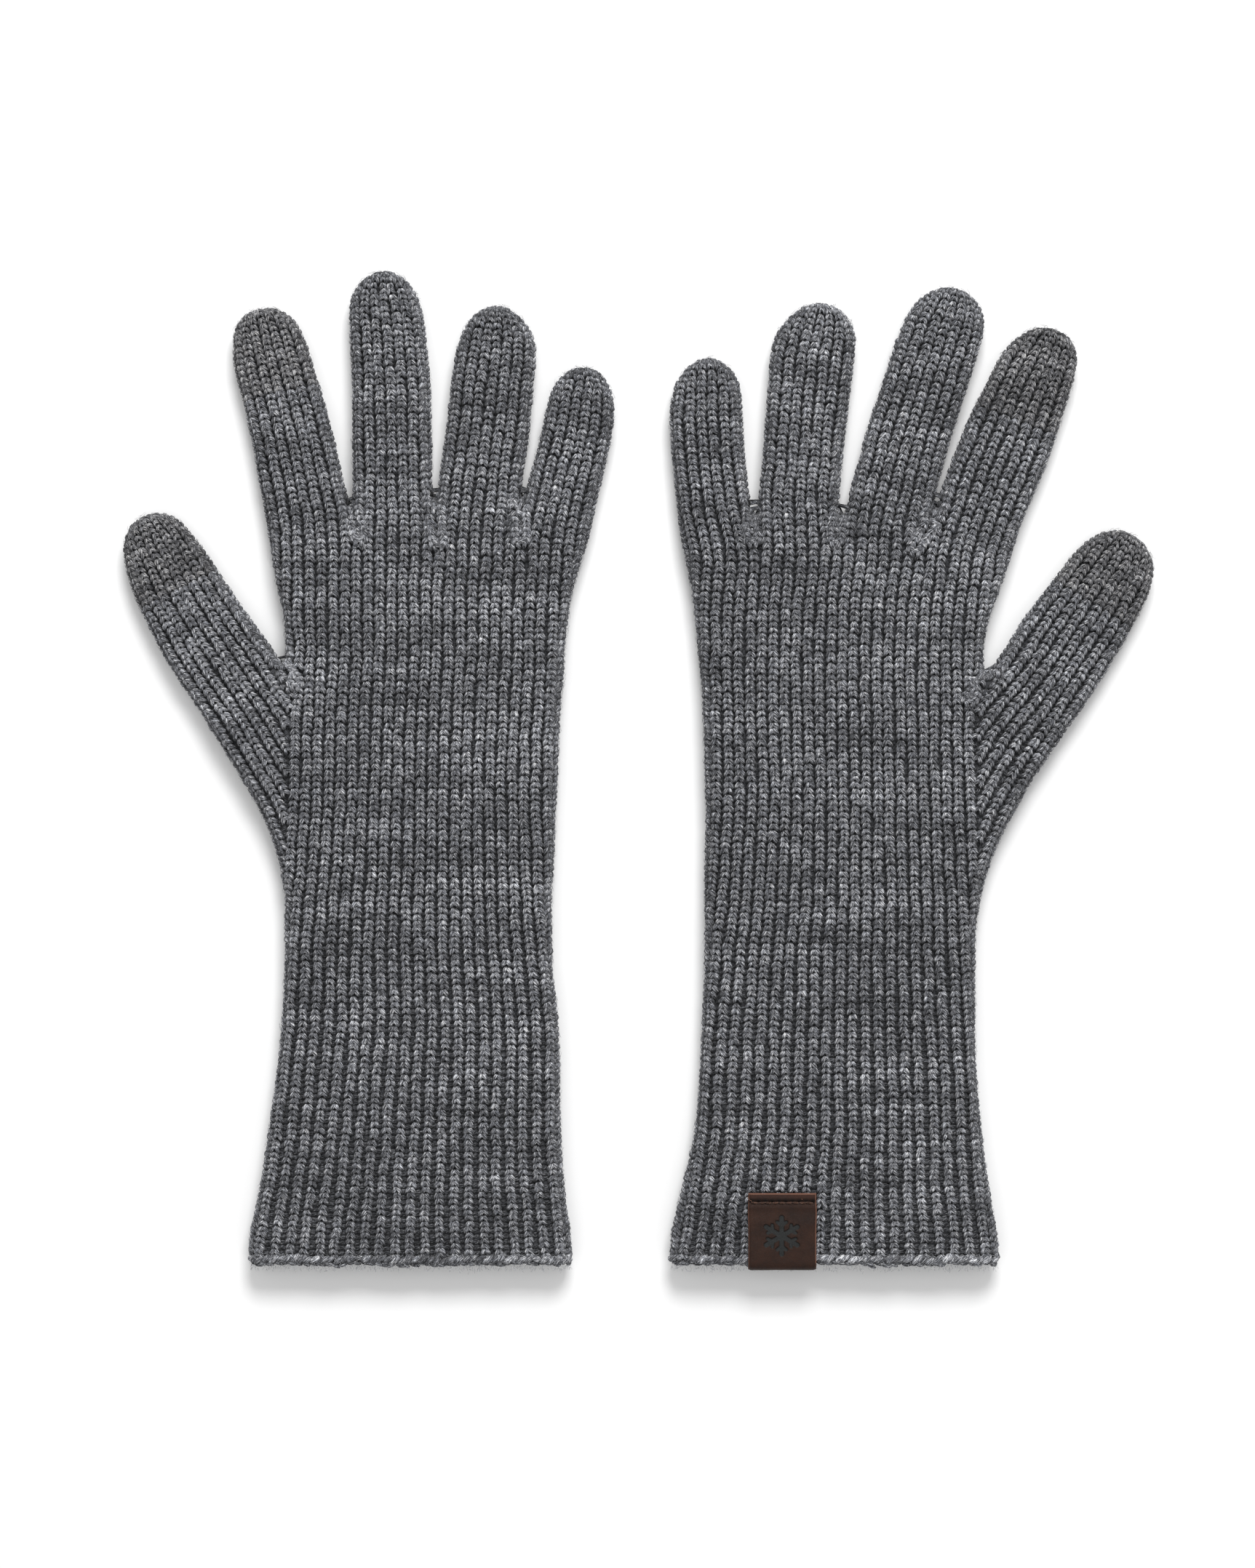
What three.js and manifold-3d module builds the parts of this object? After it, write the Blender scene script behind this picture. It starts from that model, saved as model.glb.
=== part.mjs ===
// A pair of long-cuffed rib-knit touchscreen gloves lying flat side by side, same side up.
// Millimetres, +Z up, fingers along +Y. The wearer's right-hand glove lies at -X with its thumb
// towards -X; the left-hand glove lies at +X with its thumb towards +X and carries a leather
// label folded over its hem. Each glove is a hollow knitted tube set: a cuff, a hand with the
// thumb gusset, four finger tubes and a thumb tube, with a conductive tip on the index finger
// and the thumb. The flat undersides rest on z = 0.
import * as THREE from 'three';
import { mergeVertices } from 'three/addons/utils/BufferGeometryUtils.js';
import Module from 'manifold-3d';

const wasm = await Module();
wasm.setup();

// ---------------------------------------------------------------- driving dimensions
const SHIFT = [0.05, -156.8]; // pattern frame to part frame, so the box is centred on X and Y
const WALL = 2.4; // knitted wall, thick rib
const GAP = 0.3; // clearance between neighbouring pieces
const WRIST_Y = 112; // fold between cuff and hand
const HEM = 3.0; // depth of the rolled cast-on edge
const SIDES = 12; // points round each tube section

// height of the flattened tube along the trunk: [y, height]
const TRUNK_HEIGHT = [[0, 11.2], [26, 11.2], [112, 11.4], [170, 12], [230, 11.6]];
const DIGIT_HEIGHT = [11.2, 10.6]; // finger height at its base and near its end

// label
const LABEL_X = [34.4, 56.2];
const LABEL_TOP = 23.0;
const LABEL_THICK = 1.2;
const LABEL_INNER = 17.0; // depth of the inside leaf
const STITCH_Y = 20.0;
const STITCH = 0.6; // thread thickness

const YARN = '#626367';
const TOUCH_YARN = '#595a5d';
const LEATHER = '#3e2a22';
const THREAD = '#2b2019';

// trunk outline, hem to finger roots: [y, left x, right x]
const RIGHT = {
  name: 'right',
  trunk: [[0.0, -122.9, -21.0], [5.3, -123.4, -21.0], [21.9, -120.4, -23.1], [44.9, -116.7, -24.5], [72.5, -113.3, -25.0], [100.1, -111.9, -27.3], [113.9, -111.9, -27.3], [127.7, -114.0, -26.6], [141.5, -118.8, -26.1], [150.7, -123.9, -25.6], [159.8, -129.4, -25.2], [166.8, -133.5, -25.0], [171.3, -135.4, -24.7], [181.7, -122.9, -24.0], [187.5, -114.4, -23.3], [192.1, -111.7, -23.1], [210.5, -113.0, -21.3], [219.7, -114.7, -18.7], [228.4, -116.5, -16.4]],
  // base: axis origin, tip: axis end, root: where the digit meets the hand, touch: where the
  // conductive tip begins, stations: [distance along the axis, extent left, extent right]
  digits: {
    index_finger: { base: [-101.5, 235.8], tip: [-117.6, 303.8], root: 1.6, touch: 41, stations: [[-13.8, 17.5, 13.8], [-4.6, 16.6, 11.5], [2.3, 16.1, 11.0], [13.8, 15.4, 11.0], [27.6, 14.7, 11.0], [41.4, 14.5, 10.3], [50.6, 14.8, 9.8], [57.5, 14.0, 9.2], [62.1, 13.1, 8.1], [65.5, 11.5, 6.2], [68.1, 9.0, 3.5], [69.5, 5.5, -0.5]] },
    middle_finger: { base: [-77.6, 236.7], tip: [-80.8, 315.1], root: 3.5, stations: [[-13.8, 14.3, 14.3], [-3.2, 13.8, 13.8], [3.2, 12.9, 13.1], [11.5, 12.4, 12.9], [25.3, 12.0, 13.3], [41.4, 11.3, 13.6], [52.9, 11.5, 13.0], [64.4, 11.5, 12.0], [70.2, 10.6, 10.3], [74.1, 8.3, 8.1], [76.8, 5.1, 5.1], [78.4, 1.8, 1.8]] },
    ring_finger: { base: [-50.7, 236.7], tip: [-44.5, 304.8], root: 4.1, stations: [[-13.8, 15.2, 14.3], [-3.2, 14.5, 13.8], [4.6, 13.8, 13.2], [13.8, 13.3, 13.1], [27.6, 12.7, 13.8], [41.4, 12.4, 13.8], [50.6, 11.8, 13.8], [56.4, 10.8, 13.1], [61.0, 9.2, 11.0], [64.4, 6.7, 7.6], [66.7, 3.5, 3.9], [68.1, 1.2, 1.6]] },
    little_finger: { base: [-25.9, 236.7], tip: [-17.8, 285.9], root: 1.3, stations: [[-13.8, 15.2, 11.0], [-4.6, 13.3, 11.3], [2.8, 11.3, 11.7], [11.5, 10.6, 12.2], [20.7, 9.4, 12.9], [29.9, 9.0, 13.3], [35.6, 8.6, 12.7], [40.2, 7.8, 11.7], [43.7, 6.4, 10.1], [46.5, 4.1, 7.8], [48.3, 1.4, 5.1], [49.5, -0.7, 2.8]] },
    thumb: { base: [-120.9, 171.3], tip: [-156.3, 236.7], root: 15.4, touch: 48.3, stations: [[-13.8, 9.2, 20.7], [0.0, 13.3, 18.4], [13.8, 14.3, 16.3], [23.0, 15.2, 15.2], [32.2, 15.8, 14.0], [43.7, 15.5, 12.7], [55.2, 14.7, 11.8], [62.1, 13.3, 10.8], [66.7, 12.0, 9.9], [70.2, 10.3, 8.3], [72.9, 7.8, 5.8], [75.0, 4.1, 2.3]] },
  },
  // overlapping joining stitches at the foot of each crotch: [x, y]
  crotches: {
    index_middle: [-88.0, 228.9],
    middle_ring: [-63.4, 227.7],
    ring_little: [-41.7, 228.9],
    thumb: [-107.4, 181.6],
  },
};
const LEFT = {
  name: 'left',
  trunk: [[0.0, 10.0, 113.7], [5.3, 9.8, 114.0], [21.9, 13.0, 111.4], [44.9, 18.1, 108.4], [72.5, 19.9, 106.6], [100.1, 20.8, 106.6], [113.9, 20.8, 108.0], [127.7, 20.8, 111.7], [141.5, 21.3, 118.1], [150.7, 21.0, 123.2], [159.8, 20.6, 128.9], [166.8, 20.6, 133.5], [171.3, 20.4, 134.4], [181.7, 19.9, 118.3], [185.2, 19.7, 110.5], [192.1, 19.0, 109.1], [210.5, 17.1, 112.6], [219.7, 15.5, 116.5], [228.4, 13.9, 119.3]],
  digits: {
    index_finger: { base: [107.5, 236.7], tip: [128.9, 297.4], root: -1.8, touch: 33, stations: [[-13.8, 18.4, 14.3], [-4.6, 14.1, 13.8], [-1.0, 13.5, 13.8], [4.6, 14.0, 13.8], [13.8, 13.8, 14.6], [27.6, 13.3, 15.1], [41.4, 11.5, 14.7], [48.3, 10.8, 14.5], [54.1, 9.2, 14.0], [58.0, 7.1, 13.2], [61.2, 4.8, 11.5], [63.2, 2.1, 9.0], [64.6, -1.4, 5.5]] },
    middle_finger: { base: [79.9, 236.7], tip: [98.3, 311.0], root: 6.0, stations: [[-13.8, 15.2, 15.6], [-3.2, 15.0, 14.7], [6.9, 14.6, 12.4], [13.8, 14.3, 12.2], [25.3, 14.1, 12.5], [39.1, 12.9, 13.3], [50.6, 12.2, 14.1], [61.0, 10.8, 14.7], [66.7, 9.2, 14.3], [70.8, 6.8, 12.4], [73.6, 3.9, 9.4], [75.2, 0.7, 5.8]] },
    ring_finger: { base: [50.9, 236.7], tip: [56.7, 305.9], root: 1.8, stations: [[-13.8, 14.3, 15.2], [-3.2, 13.8, 14.3], [4.6, 13.5, 12.4], [13.8, 13.1, 12.1], [27.6, 13.3, 12.5], [41.4, 13.3, 12.9], [50.6, 13.5, 13.3], [56.4, 12.4, 13.3], [61.0, 10.1, 12.4], [64.6, 6.9, 10.1], [67.2, 3.5, 6.7], [68.8, 0.5, 3.2]] },
    little_finger: { base: [24.7, 236.7], tip: [21.7, 288.0], root: -1.2, stations: [[-13.8, 11.5, 14.3], [-4.6, 12.0, 12.9], [2.3, 12.4, 11.3], [11.5, 12.7, 10.6], [23.0, 13.1, 10.1], [32.2, 13.1, 10.2], [39.1, 11.7, 10.1], [43.7, 10.1, 9.2], [46.9, 7.8, 7.2], [49.2, 5.1, 4.8], [50.8, 2.1, 2.1]] },
    thumb: { base: [115.1, 169.1], tip: [154.2, 232.3], root: 11.6, touch: 48, stations: [[-13.8, 20.7, 12.4], [0.0, 17.5, 17.0], [11.5, 14.0, 17.5], [20.7, 12.9, 18.2], [32.2, 12.9, 18.4], [43.7, 11.8, 18.2], [55.2, 10.7, 17.5], [62.1, 9.7, 16.7], [66.7, 8.2, 15.3], [70.4, 6.0, 13.1], [72.9, 3.5, 10.1], [74.5, 0.0, 6.4]] },
  },
  crotches: {
    index_middle: [87.3, 224.7],
    middle_ring: [62.7, 228.2],
    ring_little: [37.6, 227.2],
    thumb: [103.6, 176.6],
  },
};

// ---------------------------------------------------------------- helpers
const lerpTable = (table, t) => {
  if (t <= table[0][0]) return table[0][1];
  for (let i = 1; i < table.length; i++) {
    if (t <= table[i][0]) {
      const [t0, v0] = table[i - 1];
      const [t1, v1] = table[i];
      return v0 + ((v1 - v0) * (t - t0)) / (t1 - t0);
    }
  }
  return table[table.length - 1][1];
};

// a flattened tube section: flat underside, rounded sides, flat crown
// [inset from the side in heights, height fraction] from the underside up, right side
const HALF_SECTION = [[0.5, 0], [0.14, 0.13], [0, 0.42], [0.1, 0.7], [0.38, 0.91], [0.9, 1]];
function sectionPoint(st, k) {
  const right = k < 6;
  const [inset, v] = HALF_SECTION[right ? k : 11 - k];
  const a = (st.l + st.r) / 2;
  const mid = (st.r - st.l) / 2;
  const reach = a - inset * Math.min(st.h, a / 0.95);
  return [mid + (right ? reach : -reach), st.z0 + v * st.h];
}

function closedFromGeometry(g) {
  g.deleteAttribute('normal');
  g.deleteAttribute('uv');
  const merged = mergeVertices(g, 1e-4);
  const pos = merged.attributes.position.array;
  const idx = Array.from(merged.index.array);
  const tris = [];
  let volume = 0;
  for (let i = 0; i < idx.length; i += 3) {
    const [a, b, c] = [idx[i], idx[i + 1], idx[i + 2]];
    if (a === b || b === c || c === a) continue;
    tris.push(a, b, c);
    const A = new THREE.Vector3().fromArray(pos, a * 3);
    const B = new THREE.Vector3().fromArray(pos, b * 3);
    const C = new THREE.Vector3().fromArray(pos, c * 3);
    volume += A.dot(B.cross(C)) / 6;
  }
  if (volume < 0) for (let i = 0; i < tris.length; i += 3) [tris[i + 1], tris[i + 2]] = [tris[i + 2], tris[i + 1]];
  const mesh = new wasm.Mesh({ numProp: 3, vertProperties: new Float32Array(pos), triVerts: new Uint32Array(tris) });
  return new wasm.Manifold(mesh);
}

// a closed tube through stations {x, y, ux, uy, l, r, h, z0}
function tube(stations) {
  const last = stations.length - 1;
  const g = new THREE.CylinderGeometry(1, 1, 1, SIDES, last);
  const p = g.attributes.position;
  for (let i = 0; i < p.count; i++) {
    const x = p.getX(i);
    const z = p.getZ(i);
    const st = stations[Math.round((0.5 - p.getY(i)) * last)];
    let lateral = (st.r - st.l) / 2;
    let height = st.z0 + st.h / 2;
    if (Math.hypot(x, z) > 0.5) {
      const k = (Math.round((Math.atan2(x, z) / (2 * Math.PI)) * SIDES) + SIDES) % SIDES;
      [lateral, height] = sectionPoint(st, k);
    }
    p.setXYZ(i, st.x + lateral * st.ux, st.y + lateral * st.uy, height);
  }
  return closedFromGeometry(g);
}

function trunkStations(glove, inset) {
  const rows = glove.trunk.map(([y, xl, xr]) => ({
    x: (xl + xr) / 2,
    y,
    ux: 1,
    uy: 0,
    l: (xr - xl) / 2 - inset,
    r: (xr - xl) / 2 - inset,
    h: lerpTable(TRUNK_HEIGHT, y) - 2 * inset,
    z0: inset,
  }));
  if (inset > 0) {
    rows[0].y = -4; // the cavity runs out through the hem
    rows[rows.length - 1].y -= inset;
  }
  return rows;
}

function axisOf(digit) {
  const dx = digit.tip[0] - digit.base[0];
  const dy = digit.tip[1] - digit.base[1];
  const n = Math.hypot(dx, dy);
  return { dx: dx / n, dy: dy / n, ux: dy / n, uy: -dx / n, length: n };
}

function digitStations(digit, inset) {
  const { dx, dy, ux, uy } = axisOf(digit);
  const rows = digit.stations.filter((row) => inset === 0 || (row[1] + row[2]) / 2 > inset + 1.8);
  const end = rows[rows.length - 1][0];
  return rows.map(([s, l, r], i) => {
    const a = (l + r) / 2;
    const full = DIGIT_HEIGHT[0] + (DIGIT_HEIGHT[1] - DIGIT_HEIGHT[0]) * Math.min(1, Math.max(0, s) / 50);
    const round = Math.min(1, 0.5 + (0.5 * a) / 8.5);
    const h = full * round;
    const at = s - (inset > 0 && s === end ? inset * 0.6 : 0) - (i === 0 ? inset * 1.5 : 0);
    return {
      x: digit.base[0] + dx * at,
      y: digit.base[1] + dy * at,
      ux,
      uy,
      l: l - inset,
      r: r - inset,
      h: h - 2 * inset,
      z0: (full - h) * 0.4 + inset,
    };
  });
}

// a tall straight-sided block over an outline in the glove's plane
function block(points, z0 = -5, z1 = 25) {
  const shape = new THREE.Shape(points.map(([x, y]) => new THREE.Vector2(x, y)));
  const g = new THREE.ExtrudeGeometry(shape, { depth: z1 - z0, bevelEnabled: false });
  g.translate(0, 0, z0);
  return closedFromGeometry(g);
}

// the block over a digit from distance s0 to s1 along its axis
function digitBlock(digit, s0, s1, extra = 3) {
  const { dx, dy, ux, uy } = axisOf(digit);
  const l = Math.max(...digit.stations.map((row) => row[1])) + extra;
  const r = Math.max(...digit.stations.map((row) => row[2])) + extra;
  const at = (s, q) => [digit.base[0] + dx * s + ux * q, digit.base[1] + dy * s + uy * q];
  return block([at(s0, -l), at(s0, r), at(s1, r), at(s1, -l)]);
}

const group = new THREE.Group();
const wool = { roughness: 0.95, metalness: 0 };
function addPiece(name, solid, color, look = wool) {
  const m = solid.getMesh();
  const g = new THREE.BufferGeometry();
  const out = new Float32Array(m.numVert * 3);
  for (let i = 0; i < m.numVert; i++) {
    for (let c = 0; c < 3; c++) out[i * 3 + c] = m.vertProperties[i * m.numProp + c];
  }
  g.setAttribute('position', new THREE.BufferAttribute(out, 3));
  g.setIndex(new THREE.BufferAttribute(new Uint32Array(m.triVerts), 1));
  g.computeVertexNormals();
  const mesh = new THREE.Mesh(g, new THREE.MeshStandardMaterial({ color, ...look }));
  mesh.name = name;
  mesh.position.set(SHIFT[0], SHIFT[1], 0);
  group.add(mesh);
}

// ---------------------------------------------------------------- one glove
function buildGlove(glove) {
  const side = glove.name;
  const trunkOuter = tube(trunkStations(glove, 0));
  let cavity = tube(trunkStations(glove, WALL));
  for (const digit of Object.values(glove.digits)) cavity = cavity.add(tube(digitStations(digit, WALL)));

  const x0 = glove.trunk[0][1] - 60;
  const x1 = glove.trunk[0][2] + 60;
  const band = (y0, y1) => block([[x0, y0], [x1, y0], [x1, y1], [x0, y1]]);

  let hand = trunkOuter.intersect(band(WRIST_Y + GAP / 2, 240));
  for (const [name, digit] of Object.entries(glove.digits)) {
    const outer = tube(digitStations(digit, 0));
    const stub = outer.intersect(digitBlock(digit, -30, digit.root - GAP / 2));
    hand = hand.add(stub);
    const end = digit.touch ? digit.touch - GAP / 2 : 120;
    addPiece(`${side}_${name}`, outer.intersect(digitBlock(digit, digit.root + GAP / 2, end)).subtract(cavity), YARN);
    if (digit.touch) {
      addPiece(
        `${side}_${name.replace('_finger', '')}_touch_tip`,
        outer.intersect(digitBlock(digit, digit.touch + GAP / 2, 120)).subtract(cavity),
        TOUCH_YARN,
      );
    }
  }
  // clear the hand from the root line of each digit outwards
  for (const digit of Object.values(glove.digits)) {
    hand = hand.subtract(digitBlock(digit, digit.root - GAP / 2, digit.root + 14, 0.2));
  }
  addPiece(`${side}_hand`, hand.subtract(cavity), YARN);
  addPiece(`${side}_cuff`, trunkOuter.intersect(band(HEM + GAP / 2, WRIST_Y - GAP / 2)).subtract(cavity), YARN);
  addPiece(`${side}_hem_band`, trunkOuter.intersect(band(-1, HEM - GAP / 2)).subtract(cavity), YARN);

  for (const [name, [x, y]] of Object.entries(glove.crotches)) {
    const g = new THREE.SphereGeometry(1, 8, 5);
    g.scale(3.4, 2.3, 0.9);
    g.translate(x, y, 13.2);
    addPiece(`${side}_${name}_crotch_stitches`, closedFromGeometry(g), YARN);
  }
}

buildGlove(RIGHT);
buildGlove(LEFT);

// ---------------------------------------------------------------- label on the left glove
{
  const top = TRUNK_HEIGHT[0][1];
  const outer0 = top + GAP;
  const outer1 = outer0 + LABEL_THICK;
  const inner1 = top - WALL - GAP;
  const inner0 = inner1 - LABEL_THICK;
  const front = -GAP;
  // the folded strip seen from its side: [y, z]
  const profile = [
    [LABEL_TOP, outer0], [LABEL_TOP, outer1], [front - LABEL_THICK + 0.4, outer1], [front - LABEL_THICK, outer1 - 0.4],
    [front - LABEL_THICK, inner0 + 0.4], [front - LABEL_THICK + 0.4, inner0], [LABEL_INNER, inner0], [LABEL_INNER, inner1],
    [front, inner1], [front, outer0],
  ];
  const shape = new THREE.Shape(profile.map(([y, z]) => new THREE.Vector2(y, z)));
  const g = new THREE.ExtrudeGeometry(shape, { depth: LABEL_X[1] - LABEL_X[0], bevelEnabled: false });
  // the extrusion's x, y, z become y, z, x
  g.applyMatrix4(new THREE.Matrix4().set(0, 0, 1, LABEL_X[0], 1, 0, 0, 0, 0, 1, 0, 0, 0, 0, 0, 1));
  addPiece('label', closedFromGeometry(g), LEATHER, { roughness: 0.6, metalness: 0 });

  const s = new THREE.BoxGeometry(LABEL_X[1] - LABEL_X[0] - 2.4, STITCH, STITCH);
  s.translate((LABEL_X[0] + LABEL_X[1]) / 2, STITCH_Y, outer1 + GAP + STITCH / 2);
  addPiece('label_stitching', closedFromGeometry(s), THREAD, { roughness: 0.85, metalness: 0 });
}

export default group;
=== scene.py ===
import math

import bpy
import numpy as np
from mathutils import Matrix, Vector, kdtree
from mathutils.geometry import delaunay_2d_cdt


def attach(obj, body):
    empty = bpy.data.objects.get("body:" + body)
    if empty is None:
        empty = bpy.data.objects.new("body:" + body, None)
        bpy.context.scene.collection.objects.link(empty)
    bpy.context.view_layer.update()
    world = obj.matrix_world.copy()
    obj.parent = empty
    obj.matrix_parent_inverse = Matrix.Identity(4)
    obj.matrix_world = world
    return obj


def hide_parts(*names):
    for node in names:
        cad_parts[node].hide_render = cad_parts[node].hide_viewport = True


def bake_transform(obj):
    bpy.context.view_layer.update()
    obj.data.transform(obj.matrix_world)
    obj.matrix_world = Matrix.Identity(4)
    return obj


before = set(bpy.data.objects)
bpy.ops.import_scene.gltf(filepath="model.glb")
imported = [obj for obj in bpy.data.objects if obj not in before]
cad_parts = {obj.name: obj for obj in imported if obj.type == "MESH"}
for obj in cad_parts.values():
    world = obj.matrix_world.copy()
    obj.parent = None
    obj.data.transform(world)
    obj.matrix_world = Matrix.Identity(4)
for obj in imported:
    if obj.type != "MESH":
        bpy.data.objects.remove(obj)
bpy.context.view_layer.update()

# A pair of rib-knit gloves made of their yarn. Every wale is a path over the flattened tube that
# the CAD solids hold, and every stitch on it is two plump yarn legs. Lengths are in millimetres
# in the CAD frame until they reach a mesh, which is in metres.

# ------------------------------------------------------------------ design tables
SHIFT = np.array([0.05, -156.8])  # pattern frame to CAD frame
HEM_Y = -156.8
CUFF_END = -66.0  # the cuff's knit ends here, below the wrist fold
SIDE = 5.3  # rounding of the flattened tube's sides
YARN = 1.1  # depth of the middle of the knit under its outer face
RM = SIDE - YARN
EQ = RM * math.pi / 2  # virtual distance from the side curve to the widest line of the side
ROW = 1.88
RIB = 3.3
TRUNK_HEIGHT = [[0, 11.2], [26, 11.2], [112, 11.4], [170, 12], [230, 11.6]]
PITCH = [[0, 4.78], [12, 4.66], [24, 4.48], [42, 4.28], [61, 4.19], [80, 4.07], [105, 3.89], [125, 3.73], [148, 3.62], [195, 3.62], [236, 3.74]]

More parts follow.
